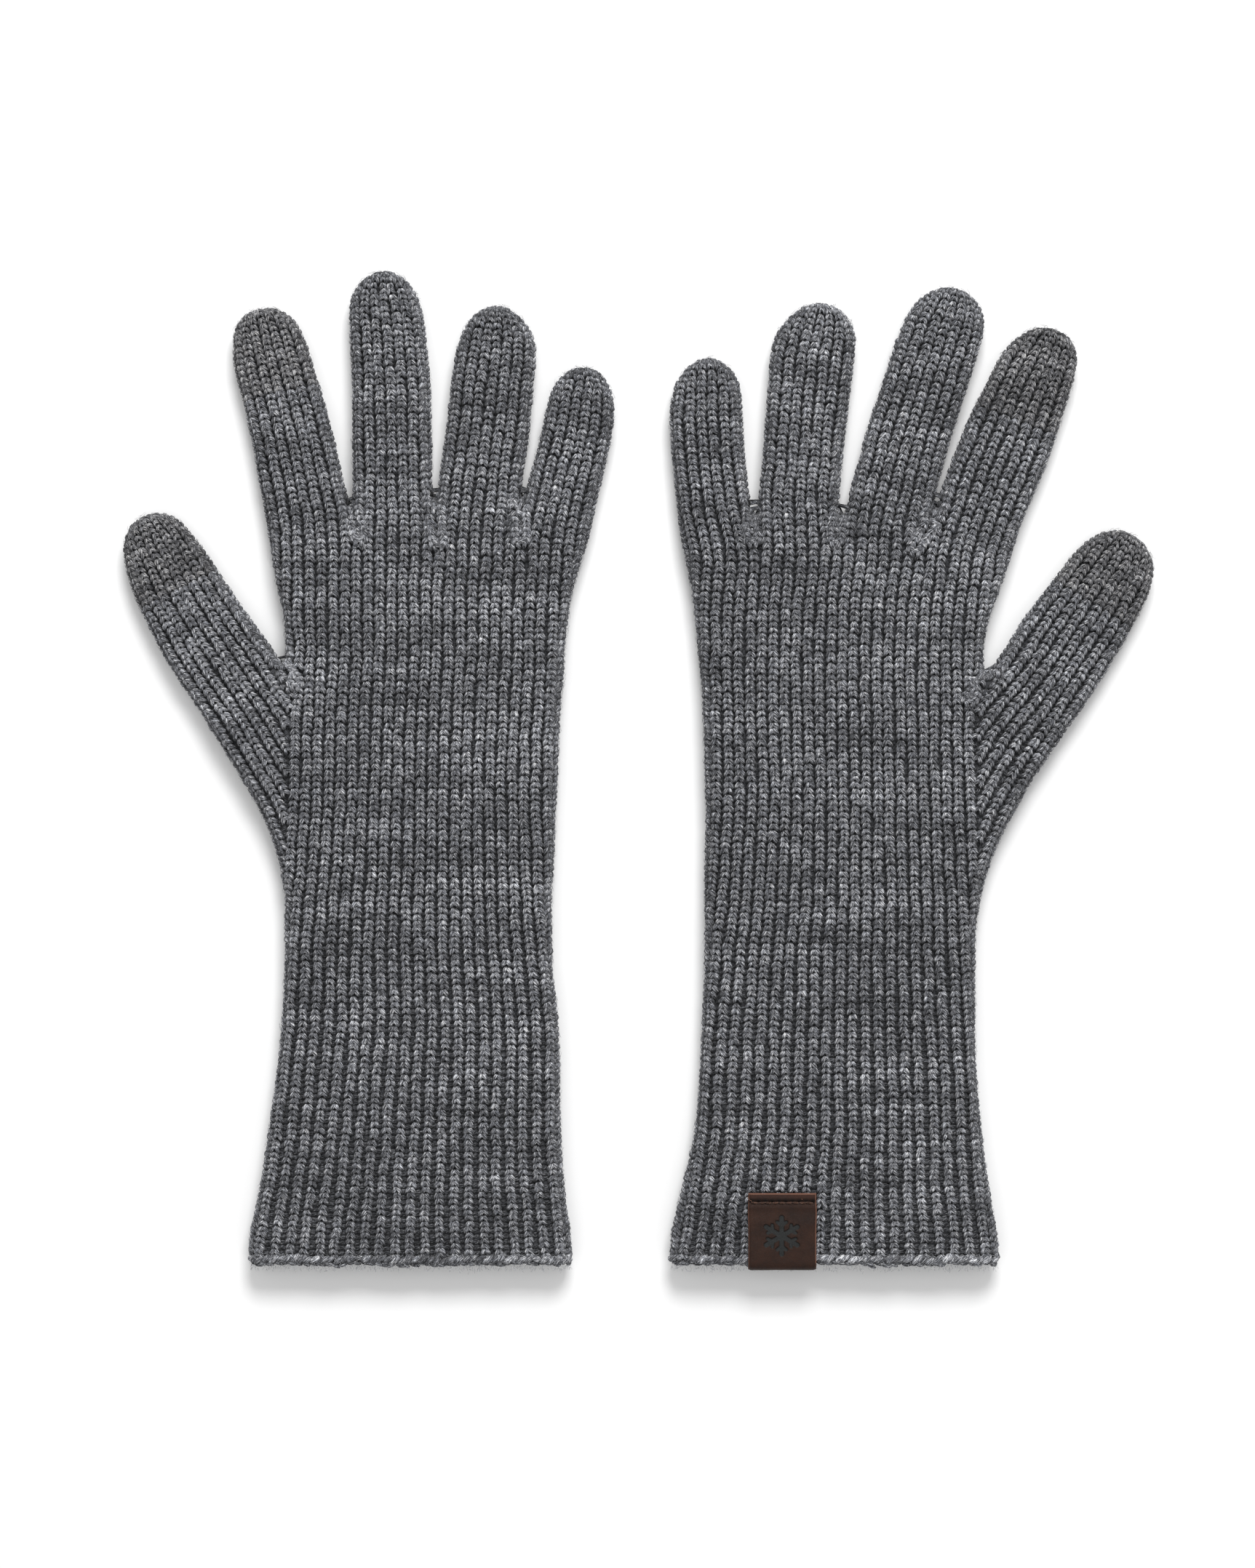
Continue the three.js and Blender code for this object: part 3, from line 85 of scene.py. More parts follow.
LEFT = {
    "name": "left",
    "trunk": [[0.0, 10.0, 113.7], [5.3, 9.8, 114.0], [21.9, 13.0, 111.4], [44.9, 18.1, 108.4], [72.5, 19.9, 106.6], [100.1, 20.8, 106.6], [113.9, 20.8, 108.0], [127.7, 20.8, 111.7], [141.5, 21.3, 118.1], [150.7, 21.0, 123.2], [159.8, 20.6, 128.9], [166.8, 20.6, 133.5], [171.3, 20.4, 134.4], [181.7, 19.9, 118.3], [185.2, 19.7, 110.5], [192.1, 19.0, 109.1], [210.5, 17.1, 112.6], [219.7, 15.5, 116.5], [228.4, 13.9, 119.3]],
    "left_line": [[0, 10.0], [5.3, 9.8], [21.9, 13.0], [44.9, 18.1], [72.5, 19.9], [100.1, 20.8], [127.7, 20.8], [150.7, 21.0], [181.7, 19.9], [192.1, 19.0], [210.5, 17.1], [219.7, 15.5], [228.4, 13.9]],
    "right_line": [[0, 113.7], [5.3, 114.0], [21.9, 111.4], [44.9, 108.4], [72.5, 106.6], [100.1, 106.6], [113.9, 108.0], [184.7, 108.4], [192.1, 109.1], [201.3, 110.6], [210.5, 112.6], [219.7, 116.5], [228.4, 119.3]],
    "first": {"little_finger": 0, "ring_finger": 6, "middle_finger": 13, "index_finger": 20},
    "thumb_edge": [[106.6, 92.0], [106.8, 102.0], [108.0, 113.9], [111.7, 127.7], [114.6, 134.5], [118.1, 141.5], [123.2, 150.7], [128.9, 159.8], [133.0, 166.8], [136.0, 171.3]],
    "keep": (-9, 24, HEM_Y + 180.0),
    "hooks": {"thumb": ("palm", 25, 26, 104.4, 175.8), "index_middle": ("middle_finger", 7, 6, 87.1, 223.1), "middle_ring": ("ring_finger", 7, 6, 62.0, 226.0), "ring_little": ("little_finger", 6, 5, 35.9, 226.0)},
    "label": (34.45, 56.25, -133.8),
    # base, tip, root, stations along the axis, inner wales, start of the touch tip
    "digits": {
        "index_finger": ([107.5, 236.7], [128.9, 297.4], -1.8, [[-13.8, 18.4, 14.3], [-4.6, 14.1, 13.8], [-1.0, 13.5, 13.8], [4.6, 14.0, 13.8], [13.8, 13.8, 14.6], [27.6, 13.3, 15.1], [41.4, 11.5, 14.7], [48.3, 10.8, 14.5], [54.1, 9.2, 14.0], [58.0, 7.1, 13.2], [61.2, 4.8, 11.5], [63.2, 2.1, 9.0], [64.6, -1.4, 5.5]], 7, 33),
        "middle_finger": ([79.9, 236.7], [98.3, 311.0], 6.0, [[-13.8, 15.2, 15.6], [-3.2, 15.0, 14.7], [6.9, 14.6, 12.4], [13.8, 14.3, 12.2], [25.3, 14.1, 12.5], [39.1, 12.9, 13.3], [50.6, 12.2, 14.1], [61.0, 10.8, 14.7], [66.7, 9.2, 14.3], [70.8, 6.8, 12.4], [73.6, 3.9, 9.4], [75.2, 0.7, 5.8]], 7, None),
        "ring_finger": ([50.9, 236.7], [56.7, 305.9], 1.8, [[-13.8, 14.3, 15.2], [-3.2, 13.8, 14.3], [4.6, 13.5, 12.4], [13.8, 13.1, 12.1], [27.6, 13.3, 12.5], [41.4, 13.3, 12.9], [50.6, 13.5, 13.3], [56.4, 12.4, 13.3], [61.0, 10.1, 12.4], [64.6, 6.9, 10.1], [67.2, 3.5, 6.7], [68.8, 0.5, 3.2]], 7, None),
        "little_finger": ([24.7, 236.7], [21.7, 288.0], -1.2, [[-13.8, 11.5, 14.3], [-4.6, 12.0, 12.9], [2.3, 12.4, 11.3], [11.5, 12.7, 10.6], [23.0, 13.1, 10.1], [32.2, 13.1, 10.2], [39.1, 11.7, 10.1], [43.7, 10.1, 9.2], [46.9, 7.8, 7.2], [49.2, 5.1, 4.8], [50.8, 2.1, 2.1]], 6, None),
        "thumb": ([115.1, 169.1], [154.2, 232.3], 11.6, [[-13.8, 20.7, 12.4], [0.0, 17.5, 17.0], [11.5, 14.0, 17.5], [20.7, 12.9, 18.2], [32.2, 12.9, 18.4], [43.7, 11.8, 18.2], [55.2, 10.7, 17.5], [62.1, 9.7, 16.7], [66.7, 8.2, 15.3], [70.4, 6.0, 13.1], [72.9, 3.5, 10.1], [74.5, 0.0, 6.4]], 8, 48),
    },
    # the side curve: the outline moved in by the rounding of the sides, anticlockwise
    "B": [[108.2, -180.9], [108.8, -179], [108.8, -177], [108.8, -175], [108.7, -173], [108.7, -171], [108.7, -169], [108.6, -167], [108.6, -165], [108.6, -163], [108.5, -161], [108.5, -159], [108.5, -157], [108.6, -155], [108.7, -153], [108.7, -151], [108.6, -149], [108.3, -147], [108, -145.1], [107.6, -143.1], [107.2, -141.1], [106.8, -139.2], [106.5, -137.2], [106.2, -135.2], [105.9, -133.3], [105.6, -131.3], [105.3, -129.3], [105, -127.3], [104.7, -125.3], [104.4, -123.4], [104.2, -121.4], [103.9, -119.4], [103.7, -117.4], [103.5, -115.4], [103.3, -113.4], [103.1, -111.4], [102.9, -109.4], [102.7, -107.5], [102.5, -105.5], [102.4, -103.5], [102.2, -101.5], [102, -99.5], [101.9, -97.5], [101.8, -95.5], [101.6, -93.5], [101.5, -91.5], [101.5, -89.5], [101.4, -87.5], [101.4, -85.5], [101.4, -83.5], [101.4, -81.5], [101.4, -79.5], [101.4, -77.5], [101.4, -75.5], [101.4, -73.5], [101.4, -71.5], [101.4, -69.5], [101.4, -67.5], [101.4, -65.5], [101.4, -63.5], [101.4, -61.5], [101.4, -59.5], [101.4, -57.5], [101.4, -55.5], [101.5, -53.5], [101.6, -51.5], [101.8, -49.5], [102, -47.6], [102.3, -45.6], [102.6, -43.6], [102.9, -41.6], [103.3, -39.6], [103.7, -37.7], [104.2, -35.8], [104.7, -33.8], [105.3, -31.9], [105.9, -30], [106.5, -28.1], [107.2, -26.2], [107.9, -24.4], [108.7, -22.5], [109.5, -20.7], [110.4, -18.9], [111.3, -17.1], [112.2, -15.3], [113.1, -13.5], [114, -11.8], [115, -10], [115.9, -8.3], [116.9, -6.5], [117.9, -4.8], [118.9, -3.1], [119.9, -1.3], [121, 0.4], [122.1, 2], [123.1, 3.7], [124.3, 5.3], [125.6, 6.9], [126.7, 8.5], [127.9, 10.2], [129, 11.8], [130.1, 13.5], [131.2, 15.1], [132.4, 16.8], [133.6, 18.4], [134.8, 20], [135.9, 21.6], [137.1, 23.3], [138.2, 24.9], [139.3, 26.6], [140.4, 28.3], [141.4, 30], [142.5, 31.6], [143.6, 33.3], [144.6, 35], [145.6, 36.8], [146.7, 38.5], [147.7, 40.2], [148.7, 41.9], [149.7, 43.7], [150.6, 45.4], [151.6, 47.2], [152.5, 48.9], [153.5, 50.7], [154.4, 52.5], [155.3, 54.3], [156.1, 56.1], [156.9, 57.9], [157.5, 59.8], [157.9, 61.8], [158, 63.8], [157.5, 65.7], [156.6, 67.5], [155.3, 69], [153.6, 70.1], [151.7, 70.6], [149.7, 70.4], [147.8, 69.8], [146.1, 68.8], [144.5, 67.5], [143.1, 66.1], [141.8, 64.7], [140.5, 63.1], [139.2, 61.6], [138, 60], [136.8, 58.4], [135.6, 56.8], [134.4, 55.2], [133.2, 53.6], [132, 52], [130.7, 50.4], [129.5, 48.9], [128.2, 47.3], [127, 45.7], [125.9, 44.1], [124.8, 42.4], [123.8, 40.7], [122.7, 39], [121.7, 37.3], [120.6, 35.6], [119.5, 33.9], [118.4, 32.2], [117.2, 30.6], [116, 29.1], [114.6, 27.6], [113.1, 26.3], [111.2, 25.6], [109.3, 25.5], [107.4, 26.2], [105.9, 27.5], [104.9, 29.2], [104.3, 31.1], [104, 33.1], [103.9, 35.1], [103.9, 37.1], [104.1, 39.1], [104.3, 41.1], [104.6, 43], [105, 45], [105.4, 47], [106, 48.9], [106.8, 50.7], [107.5, 52.6], [108.1, 54.5], [108.8, 56.4], [109.5, 58.3], [110.1, 60.1], [110.8, 62], [111.4, 63.9], [112, 65.8], [112.6, 67.7], [113.2, 69.6], [113.8, 71.6], [114.4, 73.5], [115, 75.4], [115.6, 77.3], [116.3, 79.2], [117, 81], [117.7, 82.9], [118.5, 84.7], [119.4, 86.5], [120.2, 88.3], [121, 90.2], [121.8, 92], [122.6, 93.9], [123.3, 95.7], [124.1, 97.6], [124.8, 99.4], [125.5, 101.3], [126.1, 103.2], [126.8, 105.1], [127.4, 107], [128, 108.9], [128.6, 110.8], [129.2, 112.7], [129.8, 114.6], [130.4, 116.5], [131, 118.4], [131.6, 120.3], [132.2, 122.2], [132.8, 124.2], [133.2, 126.1], [133.6, 128.1], [133.8, 130.1], [133.4, 132], [132.2, 133.6], [130.5, 134.6], [128.5, 134.9], [126.6, 134.6], [124.8, 133.7], [123.1, 132.5], [121.7, 131.2], [120.3, 129.7], [119.1, 128.1], [118.1, 126.4], [117.2, 124.6], [116.3, 122.8], [115.5, 121], [114.6, 119.2], [113.7, 117.4], [112.8, 115.7], [111.8, 113.9], [110.9, 112.1], [110, 110.3], [109.2, 108.5], [108.4, 106.7], [107.7, 104.8], [106.9, 103], [106.2, 101.1], [105.5, 99.2], [104.7, 97.4], [104, 95.5], [103.3, 93.6], [102.6, 91.8], [101.9, 89.9], [101.2, 88], [100.6, 86.1], [100.1, 84.2], [99.6, 82.2], [98.8, 80.4], [97.5, 78.9], [95.8, 77.9], [93.8, 77.5], [91.9, 77.9], [90.2, 79], [89, 80.6], [88.5, 82.5], [88.5, 84.5], [88.8, 86.4], [89.2, 88.4], [89.7, 90.3], [90.1, 92.3], [90.6, 94.2], [91.2, 96.1], [91.7, 98.1], [92.2, 100], [92.8, 101.9], [93.3, 103.8], [93.9, 105.8], [94.5, 107.7], [95.1, 109.6], [95.7, 111.5], [96.3, 113.4], [96.9, 115.3], [97.5, 117.2], [98.1, 119.1], [98.7, 121], [99.4, 122.9], [100, 124.8], [100.6, 126.7], [101.2, 128.6], [101.8, 130.5], [102.4, 132.4], [103, 134.3], [103.6, 136.3], [104, 138.2], [104.3, 140.2], [104.3, 142.2], [103.6, 144.1], [102.4, 145.6], [100.8, 146.8], [98.9, 147.5], [96.9, 147.4], [95, 146.8], [93.4, 145.7], [91.9, 144.3], [90.7, 142.7], [89.7, 141], [88.8, 139.2], [88, 137.4], [87.3, 135.5], [86.5, 133.7], [85.8, 131.8], [85.2, 129.9], [84.6, 128], [84, 126.1], [83.4, 124.2], [82.8, 122.3], [82.2, 120.4], [81.6, 118.5], [80.9, 116.6], [80.3, 114.7], [79.6, 112.8], [78.9, 110.9], [78.3, 109], [77.7, 107.1], [77.1, 105.2], [76.6, 103.3], [76.1, 101.3], [75.6, 99.4], [75.1, 97.5], [74.5, 95.5], [74, 93.6], [73.4, 91.7], [72.9, 89.8], [72.3, 87.9], [71.7, 85.9], [71.2, 84], [70.6, 82.1], [70, 80.2], [69.3, 78.4], [68.1, 76.8], [66.4, 75.7], [64.5, 75.3], [62.5, 75.6], [60.8, 76.6], [59.5, 78.2], [58.8, 80], [58.5, 82], [58.4, 84], [58.5, 86], [58.6, 88], [58.7, 90], [58.8, 92], [59, 94], [59.2, 96], [59.4, 98], [59.6, 99.9], [59.8, 101.9], [60.1, 103.9], [60.3, 105.9], [60.5, 107.9], [60.8, 109.9], [61, 111.9], [61.2, 113.8], [61.4, 115.8], [61.7, 117.8], [61.9, 119.8], [62.1, 121.8], [62.4, 123.8], [62.7, 125.7], [62.9, 127.7], [63.1, 129.7], [63.3, 131.7], [63.5, 133.7], [63.5, 135.7], [63.2, 137.7], [62.5, 139.5], [61.2, 141], [59.6, 142.2], [57.7, 142.8], [55.7, 142.4], [54, 141.5], [52.4, 140.3], [50.9, 138.9], [49.6, 137.4], [48.6, 135.7], [47.8, 133.8], [47.3, 131.9], [47, 129.9], [46.8, 128], [46.7, 126], [46.6, 124], [46.4, 122], [46.3, 120], [46.1, 118], [45.9, 116], [45.8, 114], [45.6, 112], [45.4, 110], [45.3, 108], [45.1, 106], [45, 104], [44.9, 102], [44.7, 100], [44.6, 98], [44.5, 96], [44.3, 94.1], [44.1, 92.1], [43.8, 90.1], [43.6, 88.1], [43.3, 86.1], [43, 84.1], [42.8, 82.2], [42.5, 80.2], [41.9, 78.3], [40.8, 76.6], [39.2, 75.5], [37.2, 75], [35.3, 75.2], [33.5, 76.2], [32.2, 77.7], [31.4, 79.5], [30.8, 81.4], [30.5, 83.4], [30.2, 85.4], [29.9, 87.3], [29.6, 89.3], [29.4, 91.3], [29.2, 93.3], [28.9, 95.3], [28.7, 97.3], [28.5, 99.3], [28.3, 101.2], [28.2, 103.2], [28.1, 105.2], [28, 107.2], [27.9, 109.2], [27.8, 111.2], [27.7, 113.2], [27.6, 115.2], [27.4, 117.2], [27.2, 119.2], [26.6, 121.1], [25.7, 122.9], [24.3, 124.3], [22.5, 125.1], [20.5, 124.7], [19, 123.4], [17.7, 121.9], [16.8, 120.1], [16.2, 118.2], [15.8, 116.2], [15.4, 114.3], [15.2, 112.3], [15.2, 110.3], [15.3, 108.3], [15.4, 106.3], [15.5, 104.3], [15.6, 102.3], [15.8, 100.3], [16, 98.3], [16.2, 96.3], [16.4, 94.3], [16.6, 92.3], [16.7, 90.4], [16.9, 88.4], [17.1, 86.4], [17.3, 84.4], [17.5, 82.4], [17.7, 80.4], [17.9, 78.4], [18.2, 76.4], [18.5, 74.5], [18.9, 72.5], [19.3, 70.5], [19.8, 68.6], [20.2, 66.7], [20.6, 64.7], [21, 62.7], [21.3, 60.8], [21.7, 58.8], [22, 56.8], [22.3, 54.8], [22.6, 52.9], [22.8, 50.9], [23.1, 48.9], [23.3, 46.9], [23.5, 44.9], [23.6, 42.9], [23.8, 40.9], [24, 38.9], [24.2, 36.9], [24.4, 35], [24.6, 33], [24.8, 31], [25, 29], [25.1, 27], [25.3, 25], [25.4, 23], [25.5, 21], [25.5, 19], [25.6, 17], [25.7, 15], [25.8, 13], [25.9, 11], [25.9, 9], [25.9, 7], [26, 5], [26, 3], [26, 1], [26.1, -1], [26.2, -3], [26.3, -5], [26.4, -7], [26.5, -9], [26.6, -11], [26.6, -13], [26.6, -15], [26.6, -17], [26.6, -19], [26.5, -21], [26.4, -23], [26.3, -25], [26.2, -26.9], [26.2, -28.9], [26.2, -30.9], [26.2, -32.9], [26.2, -34.9], [26.2, -36.9], [26.2, -38.9], [26.2, -40.9], [26.2, -42.9], [26.2, -44.9], [26.2, -46.9], [26.2, -48.9], [26.1, -50.9], [26.1, -52.9], [26.1, -54.9], [26.1, -56.9], [26.1, -58.9], [26.1, -60.9], [26.1, -62.9], [26, -64.9], [26, -66.9], [25.9, -68.9], [25.8, -70.9], [25.8, -72.9], [25.7, -74.9], [25.6, -76.9], [25.5, -78.9], [25.4, -80.9], [25.3, -82.9], [25.2, -84.9], [25.1, -86.9], [25, -88.9], [25, -90.9], [24.9, -92.9], [24.7, -94.9], [24.6, -96.9], [24.5, -98.9], [24.4, -100.9], [24.2, -102.9], [24.1, -104.9], [23.9, -106.9], [23.8, -108.9], [23.6, -110.9], [23.4, -112.8], [23.1, -114.8], [22.8, -116.8], [22.4, -118.8], [22, -120.7], [21.5, -122.7], [21.1, -124.6], [20.6, -126.5], [20.1, -128.5], [19.6, -130.4], [19.1, -132.4], [18.6, -134.3], [18.2, -136.2], [17.7, -138.2], [17.3, -140.1], [16.8, -142.1], [16.3, -144], [15.9, -146], [15.5, -147.9], [15.3, -149.9], [15.2, -151.9], [15.2, -153.9], [15.3, -155.9], [15.3, -157.9], [15.3, -159.9], [15.3, -161.9], [15.2, -163.9], [15.2, -165.9], [15.2, -167.9], [15.1, -169.9], [15.1, -171.9], [15.1, -173.9], [15, -175.9], [15, -177.9], [15.1, -179.9], [16.4, -181.3], [18.4, -181.5], [20.4, -181.5], [22.4, -181.5], [24.4, -181.5], [26.4, -181.5], [28.4, -181.5], [30.4, -181.5], [32.4, -181.5], [34.4, -181.5], [36.4, -181.5], [38.4, -181.5], [40.4, -181.5], [42.4, -181.5], [44.4, -181.5], [46.4, -181.5], [48.4, -181.5], [50.4, -181.5], [52.4, -181.5], [54.4, -181.5], [56.4, -181.5], [58.4, -181.5], [60.4, -181.5], [62.4, -181.5], [64.4, -181.5], [66.4, -181.5], [68.4, -181.5], [70.4, -181.5], [72.4, -181.5], [74.4, -181.5], [76.4, -181.5], [78.4, -181.5], [80.4, -181.5], [82.4, -181.5], [84.4, -181.5], [86.4, -181.5], [88.4, -181.5], [90.4, -181.5], [92.4, -181.5], [94.4, -181.5], [96.4, -181.5], [98.4, -181.5], [100.4, -181.5], [102.4, -181.5], [104.4, -181.5], [106.4, -181.5]],
}
CENTRE = (-3.4, -3.4)  # what the camera is over
# short ribs in the web of each thumb
WEBS = {"right": [(-111.6, 182.5, -115.2, 193.0), (-109.4, 180.0, -112.2, 191.0)], "left": [(106.4, 176.0, 109.0, 188.0), (108.8, 178.5, 112.4, 188.5), (111.2, 180.5, 115.4, 188.5)]}
# the crease below each crotch: from the crotch to the loop that joins its ribs
CLEFTS = {"right": [(-90.6, 242.5, -89.6, 232.5), (-63.9, 244.5, -64.6, 232.0), (-36.0, 244.5, -39.4, 233.0)], "left": [(37.0, 241.0, 37.9, 233.0), (64.1, 240.5, 64.6, 232.0), (94.6, 242.5, 90.2, 230.5)]}
KEY_POWER, FILL_POWER, WORLD_LIGHT = 42.0, 16.0, 0.45


rng = np.random.default_rng(7)


def table(t, x, col=1):
    a = np.array(t, float)
    return np.interp(x, a[:, 0], a[:, col])


def smooth(x):
    x = np.clip(x, 0, 1)
    return x * x * (3 - 2 * x)


def lattice(ix, iy, seed):
    h = (ix * 374761393 + iy * 668265263 + seed * 974634777) & 0xFFFFFFFF
    h = ((h ^ (h >> 13)) * 1274126177) & 0xFFFFFFFF
    h = h ^ (h >> 16)
    return (h & 0xFFFFFF) / float(0xFFFFFF) * 2 - 1


def noise(x, y, seed):
    """smooth value noise in -1..1"""
    x, y = np.asarray(x, float), np.asarray(y, float)
    ix, iy = np.floor(x).astype(np.int64), np.floor(y).astype(np.int64)
    fx, fy = smooth(x - ix), smooth(y - iy)
    a = lattice(ix, iy, seed) * (1 - fx) + lattice(ix + 1, iy, seed) * fx
    b = lattice(ix, iy + 1, seed) * (1 - fx) + lattice(ix + 1, iy + 1, seed) * fx
    return a * (1 - fy) + b * fy


def resample(p, step=None, n=None):
    seg = np.linalg.norm(np.diff(p, axis=0), axis=1)
    L = np.r_[0, np.cumsum(seg)]
    if n is None:
        n = max(2, int(round(L[-1] / step)) + 1)
    t = np.linspace(0, L[-1], n)
    return np.c_[np.interp(t, L, p[:, 0]), np.interp(t, L, p[:, 1])]


def relax(p, times):
    p = p.copy()
    for _ in range(times):
        p[1:-1] = (p[:-2] + 2 * p[1:-1] + p[2:]) / 4
    return p


class Digit:
    def __init__(self, name, base, tip, root, stations, inner, touch=None):
        self.name = name
        self.base = np.array(base) + SHIFT
        self.tip = np.array(tip) + SHIFT
        self.d = (self.tip - self.base) / np.linalg.norm(self.tip - self.base)
        self.u = np.array([self.d[1], -self.d[0]])
        self.root, self.touch, self.inner = root, touch, inner
        st = np.array(stations, float)
        grow = EQ - SIDE
        end = st[-1]
        mid = (end[2] - end[1]) / 2
        self.s = np.append(st[:, 0], end[0] + 1.2)
        self.lv = np.append(st[:, 1] + grow, -mid + 1.4)
        self.rv = np.append(st[:, 2] + grow, mid + 1.4)
        self.end = self.s[-1]

    def side(self, s):
        # smooth the extents a little so the wales run without kinks
        s = np.asarray(s, float)
        l = sum(np.interp(s + o, self.s, self.lv) for o in (-3, -1.5, 0, 1.5, 3)) / 5
        r = sum(np.interp(s + o, self.s, self.rv) for o in (-3, -1.5, 0, 1.5, 3)) / 5
        tip = smooth((s - (self.end - 7)) / 4)
        l = l * (1 - tip) + tip * np.interp(s, self.s, self.lv)
        r = r * (1 - tip) + tip * np.interp(s, self.s, self.rv)
        return l, r

    def wale(self, k, s):
        """k runs over the inner wales 0..inner-1, with -1 and inner the two side wales"""
        l, r = self.side(s)
        p = (l + r) / (self.inner + 1.1)
        t = (r - l) / 2 + (k - (self.inner - 1) / 2) * p
        return t, p

    def at(self, s, t):
        s, t = np.atleast_1d(s).astype(float), np.atleast_1d(t).astype(float)
        s, t = np.broadcast_arrays(s, t)
        return self.base + s[:, None] * self.d + t[:, None] * self.u

    def local(self, p):
        q = p - self.base
        return q @ self.d, q @ self.u

    def reach(self, p):
        """distance along the axis, and sideways distance in half widths"""
        s, t = self.local(p)
        l, r = self.side(np.clip(s, self.s[0], self.s[-1] - 4))
        return s, np.abs(t - (r - l) / 2) / ((l + r) / 2)


class Glove:
    def __init__(self, side, B, trunk, left_line, right_line, digits, first, thumb_edge, keep, hooks, label=None):
        self.name = side
        self.mir = 1 if side == "right" else -1
        self.trunk = np.array(trunk, float)
        self.left_line, self.right_line = left_line, right_line
        self.digits = {d.name: d for d in digits}
        self.first = first  # first palm wale of each finger
        self.thumb_edge = np.array(thumb_edge) + SHIFT
        self.keep = keep  # palm wales that run on below the thumb's crotch
        self.hooks = hooks
        self.label = label
        self.hook_lines = {}
        b = np.array(B, float)
        n = len(b)
        t = np.arange(0, n, 0.25)
        i = np.floor(t).astype(int)
        f = (t - i)[:, None]
        p0, p1, p2, p3 = b[(i - 1) % n], b[i % n], b[(i + 1) % n], b[(i + 2) % n]
        c = 0.5 * (2 * p1 + (p2 - p0) * f + (2 * p0 - 5 * p1 + 4 * p2 - p3) * f**2 + (3 * p1 - p0 - 3 * p2 + p3) * f**3)
        for _ in range(6):
            c = (np.roll(c, 1, 0) + 2 * c + np.roll(c, -1, 0)) / 4
        self.B = c
        tan = np.roll(c, -2, 0) - np.roll(c, 2, 0)
        tan /= np.linalg.norm(tan, axis=1)[:, None]
        for _ in range(4):
            tan = np.roll(tan, 1, 0) + 2 * tan + np.roll(tan, -1, 0)
            tan /= np.linalg.norm(tan, axis=1)[:, None]
        self.BT = tan
        self.BN = np.c_[tan[:, 1], -tan[:, 0]]  # outward, as the curve runs anticlockwise
        # which digit each point of the side curve belongs to
        self.tag = np.array(["trunk"] * len(c), dtype=object)
        best = np.full(len(c), 1.0)
        for d in self.digits.values():
            s, q = d.reach(c)
            low = d.root - (22 if d.name == "thumb" else 9)
            ok = (s > low) & (q < best)
            self.tag[ok] = d.name
            best[ok] = q[ok]
        self.trees = {}
        outer = (c[:, 0] < -100 if self.mir > 0 else c[:, 0] > 95) & (c[:, 1] < 15)
        for key in ["all", "palm"] + list(self.digits):
            if key == "all":
                idx = np.arange(len(c))
            elif key == "palm":
                idx = np.nonzero(self.tag != "thumb")[0]
            elif key == "thumb":
                idx = np.nonzero((self.tag == key) | (outer & (self.tag == "trunk")))[0]
            else:
                idx = np.nonzero(self.tag == key)[0]
            tree = kdtree.KDTree(len(idx))
            for k in idx:
                tree.insert((c[k, 0], c[k, 1], 0), int(k))
            tree.balance()
            self.trees[key] = tree
        self.trace_hooks()

    def trace_hooks(self):
        """the middle line of each crotch's joining loop: down one rib, round and up the next"""
        for name, (kind, a, b, cx, yb) in self.hooks.items():
            cx, yb = cx + SHIFT[0], yb + SHIFT[1]
            up = yb + (9.0 if kind == "palm" else 12.5)

            def top(k):
                if kind == "palm":
                    return np.array([self.palm_x(k, up), up])
                d = self.digits[kind]
                s = d.local(np.array([[cx, up]]))[0]
                return d.at(s, d.wale(k, s)[0])[0]

            ends = sorted((top(a), top(b)), key=lambda q: q[0])
            ang = np.radians(np.arange(180, 361, 15))
            hw = 1.85
            arc = np.c_[cx + hw * np.cos(ang), yb + 3.3 + hw * np.sin(ang)]
            line = np.r_[[ends[0]], arc, [ends[1]]]
            self.hook_lines[name] = relax(resample(line, step=0.5), 6)

    def cleft(self, p):
        """1 along the crease that runs down from each crotch to its joining loop"""
        out = np.zeros(len(p))
        for ax, ay, bx, by in CLEFTS[self.name]:
            a, b = np.array([ax, ay]) + SHIFT, np.array([bx, by]) + SHIFT
            t = np.clip(((p - a) @ (b - a)) / ((b - a) @ (b - a)), 0, 1)
            gap = np.linalg.norm(p - a - t[:, None] * (b - a), axis=1)
            out = np.maximum(out, np.exp(-((gap / 0.75) ** 2)))
        return out

    def height(self, p):
        h = table(TRUNK_HEIGHT, p[:, 1] - SHIFT[1])
        for d in self.digits.values():
            s, t = d.local(p)
            l, r = d.side(np.clip(s, d.s[0], d.s[-1]))
            lat = smooth(((l + r) / 2 + 3.0 - np.abs(t - (r - l) / 2)) / 3)
            inside = smooth((s - d.root + 10) / 14) * lat
            full = 11.3 - 0.7 * np.clip(s / 50, 0, 1)
            near = np.clip(1 - (d.end - s) / 11, 0, 1)
            h = h * (1 - inside) + full * (1 - 0.40 * near**2) * inside
        return h

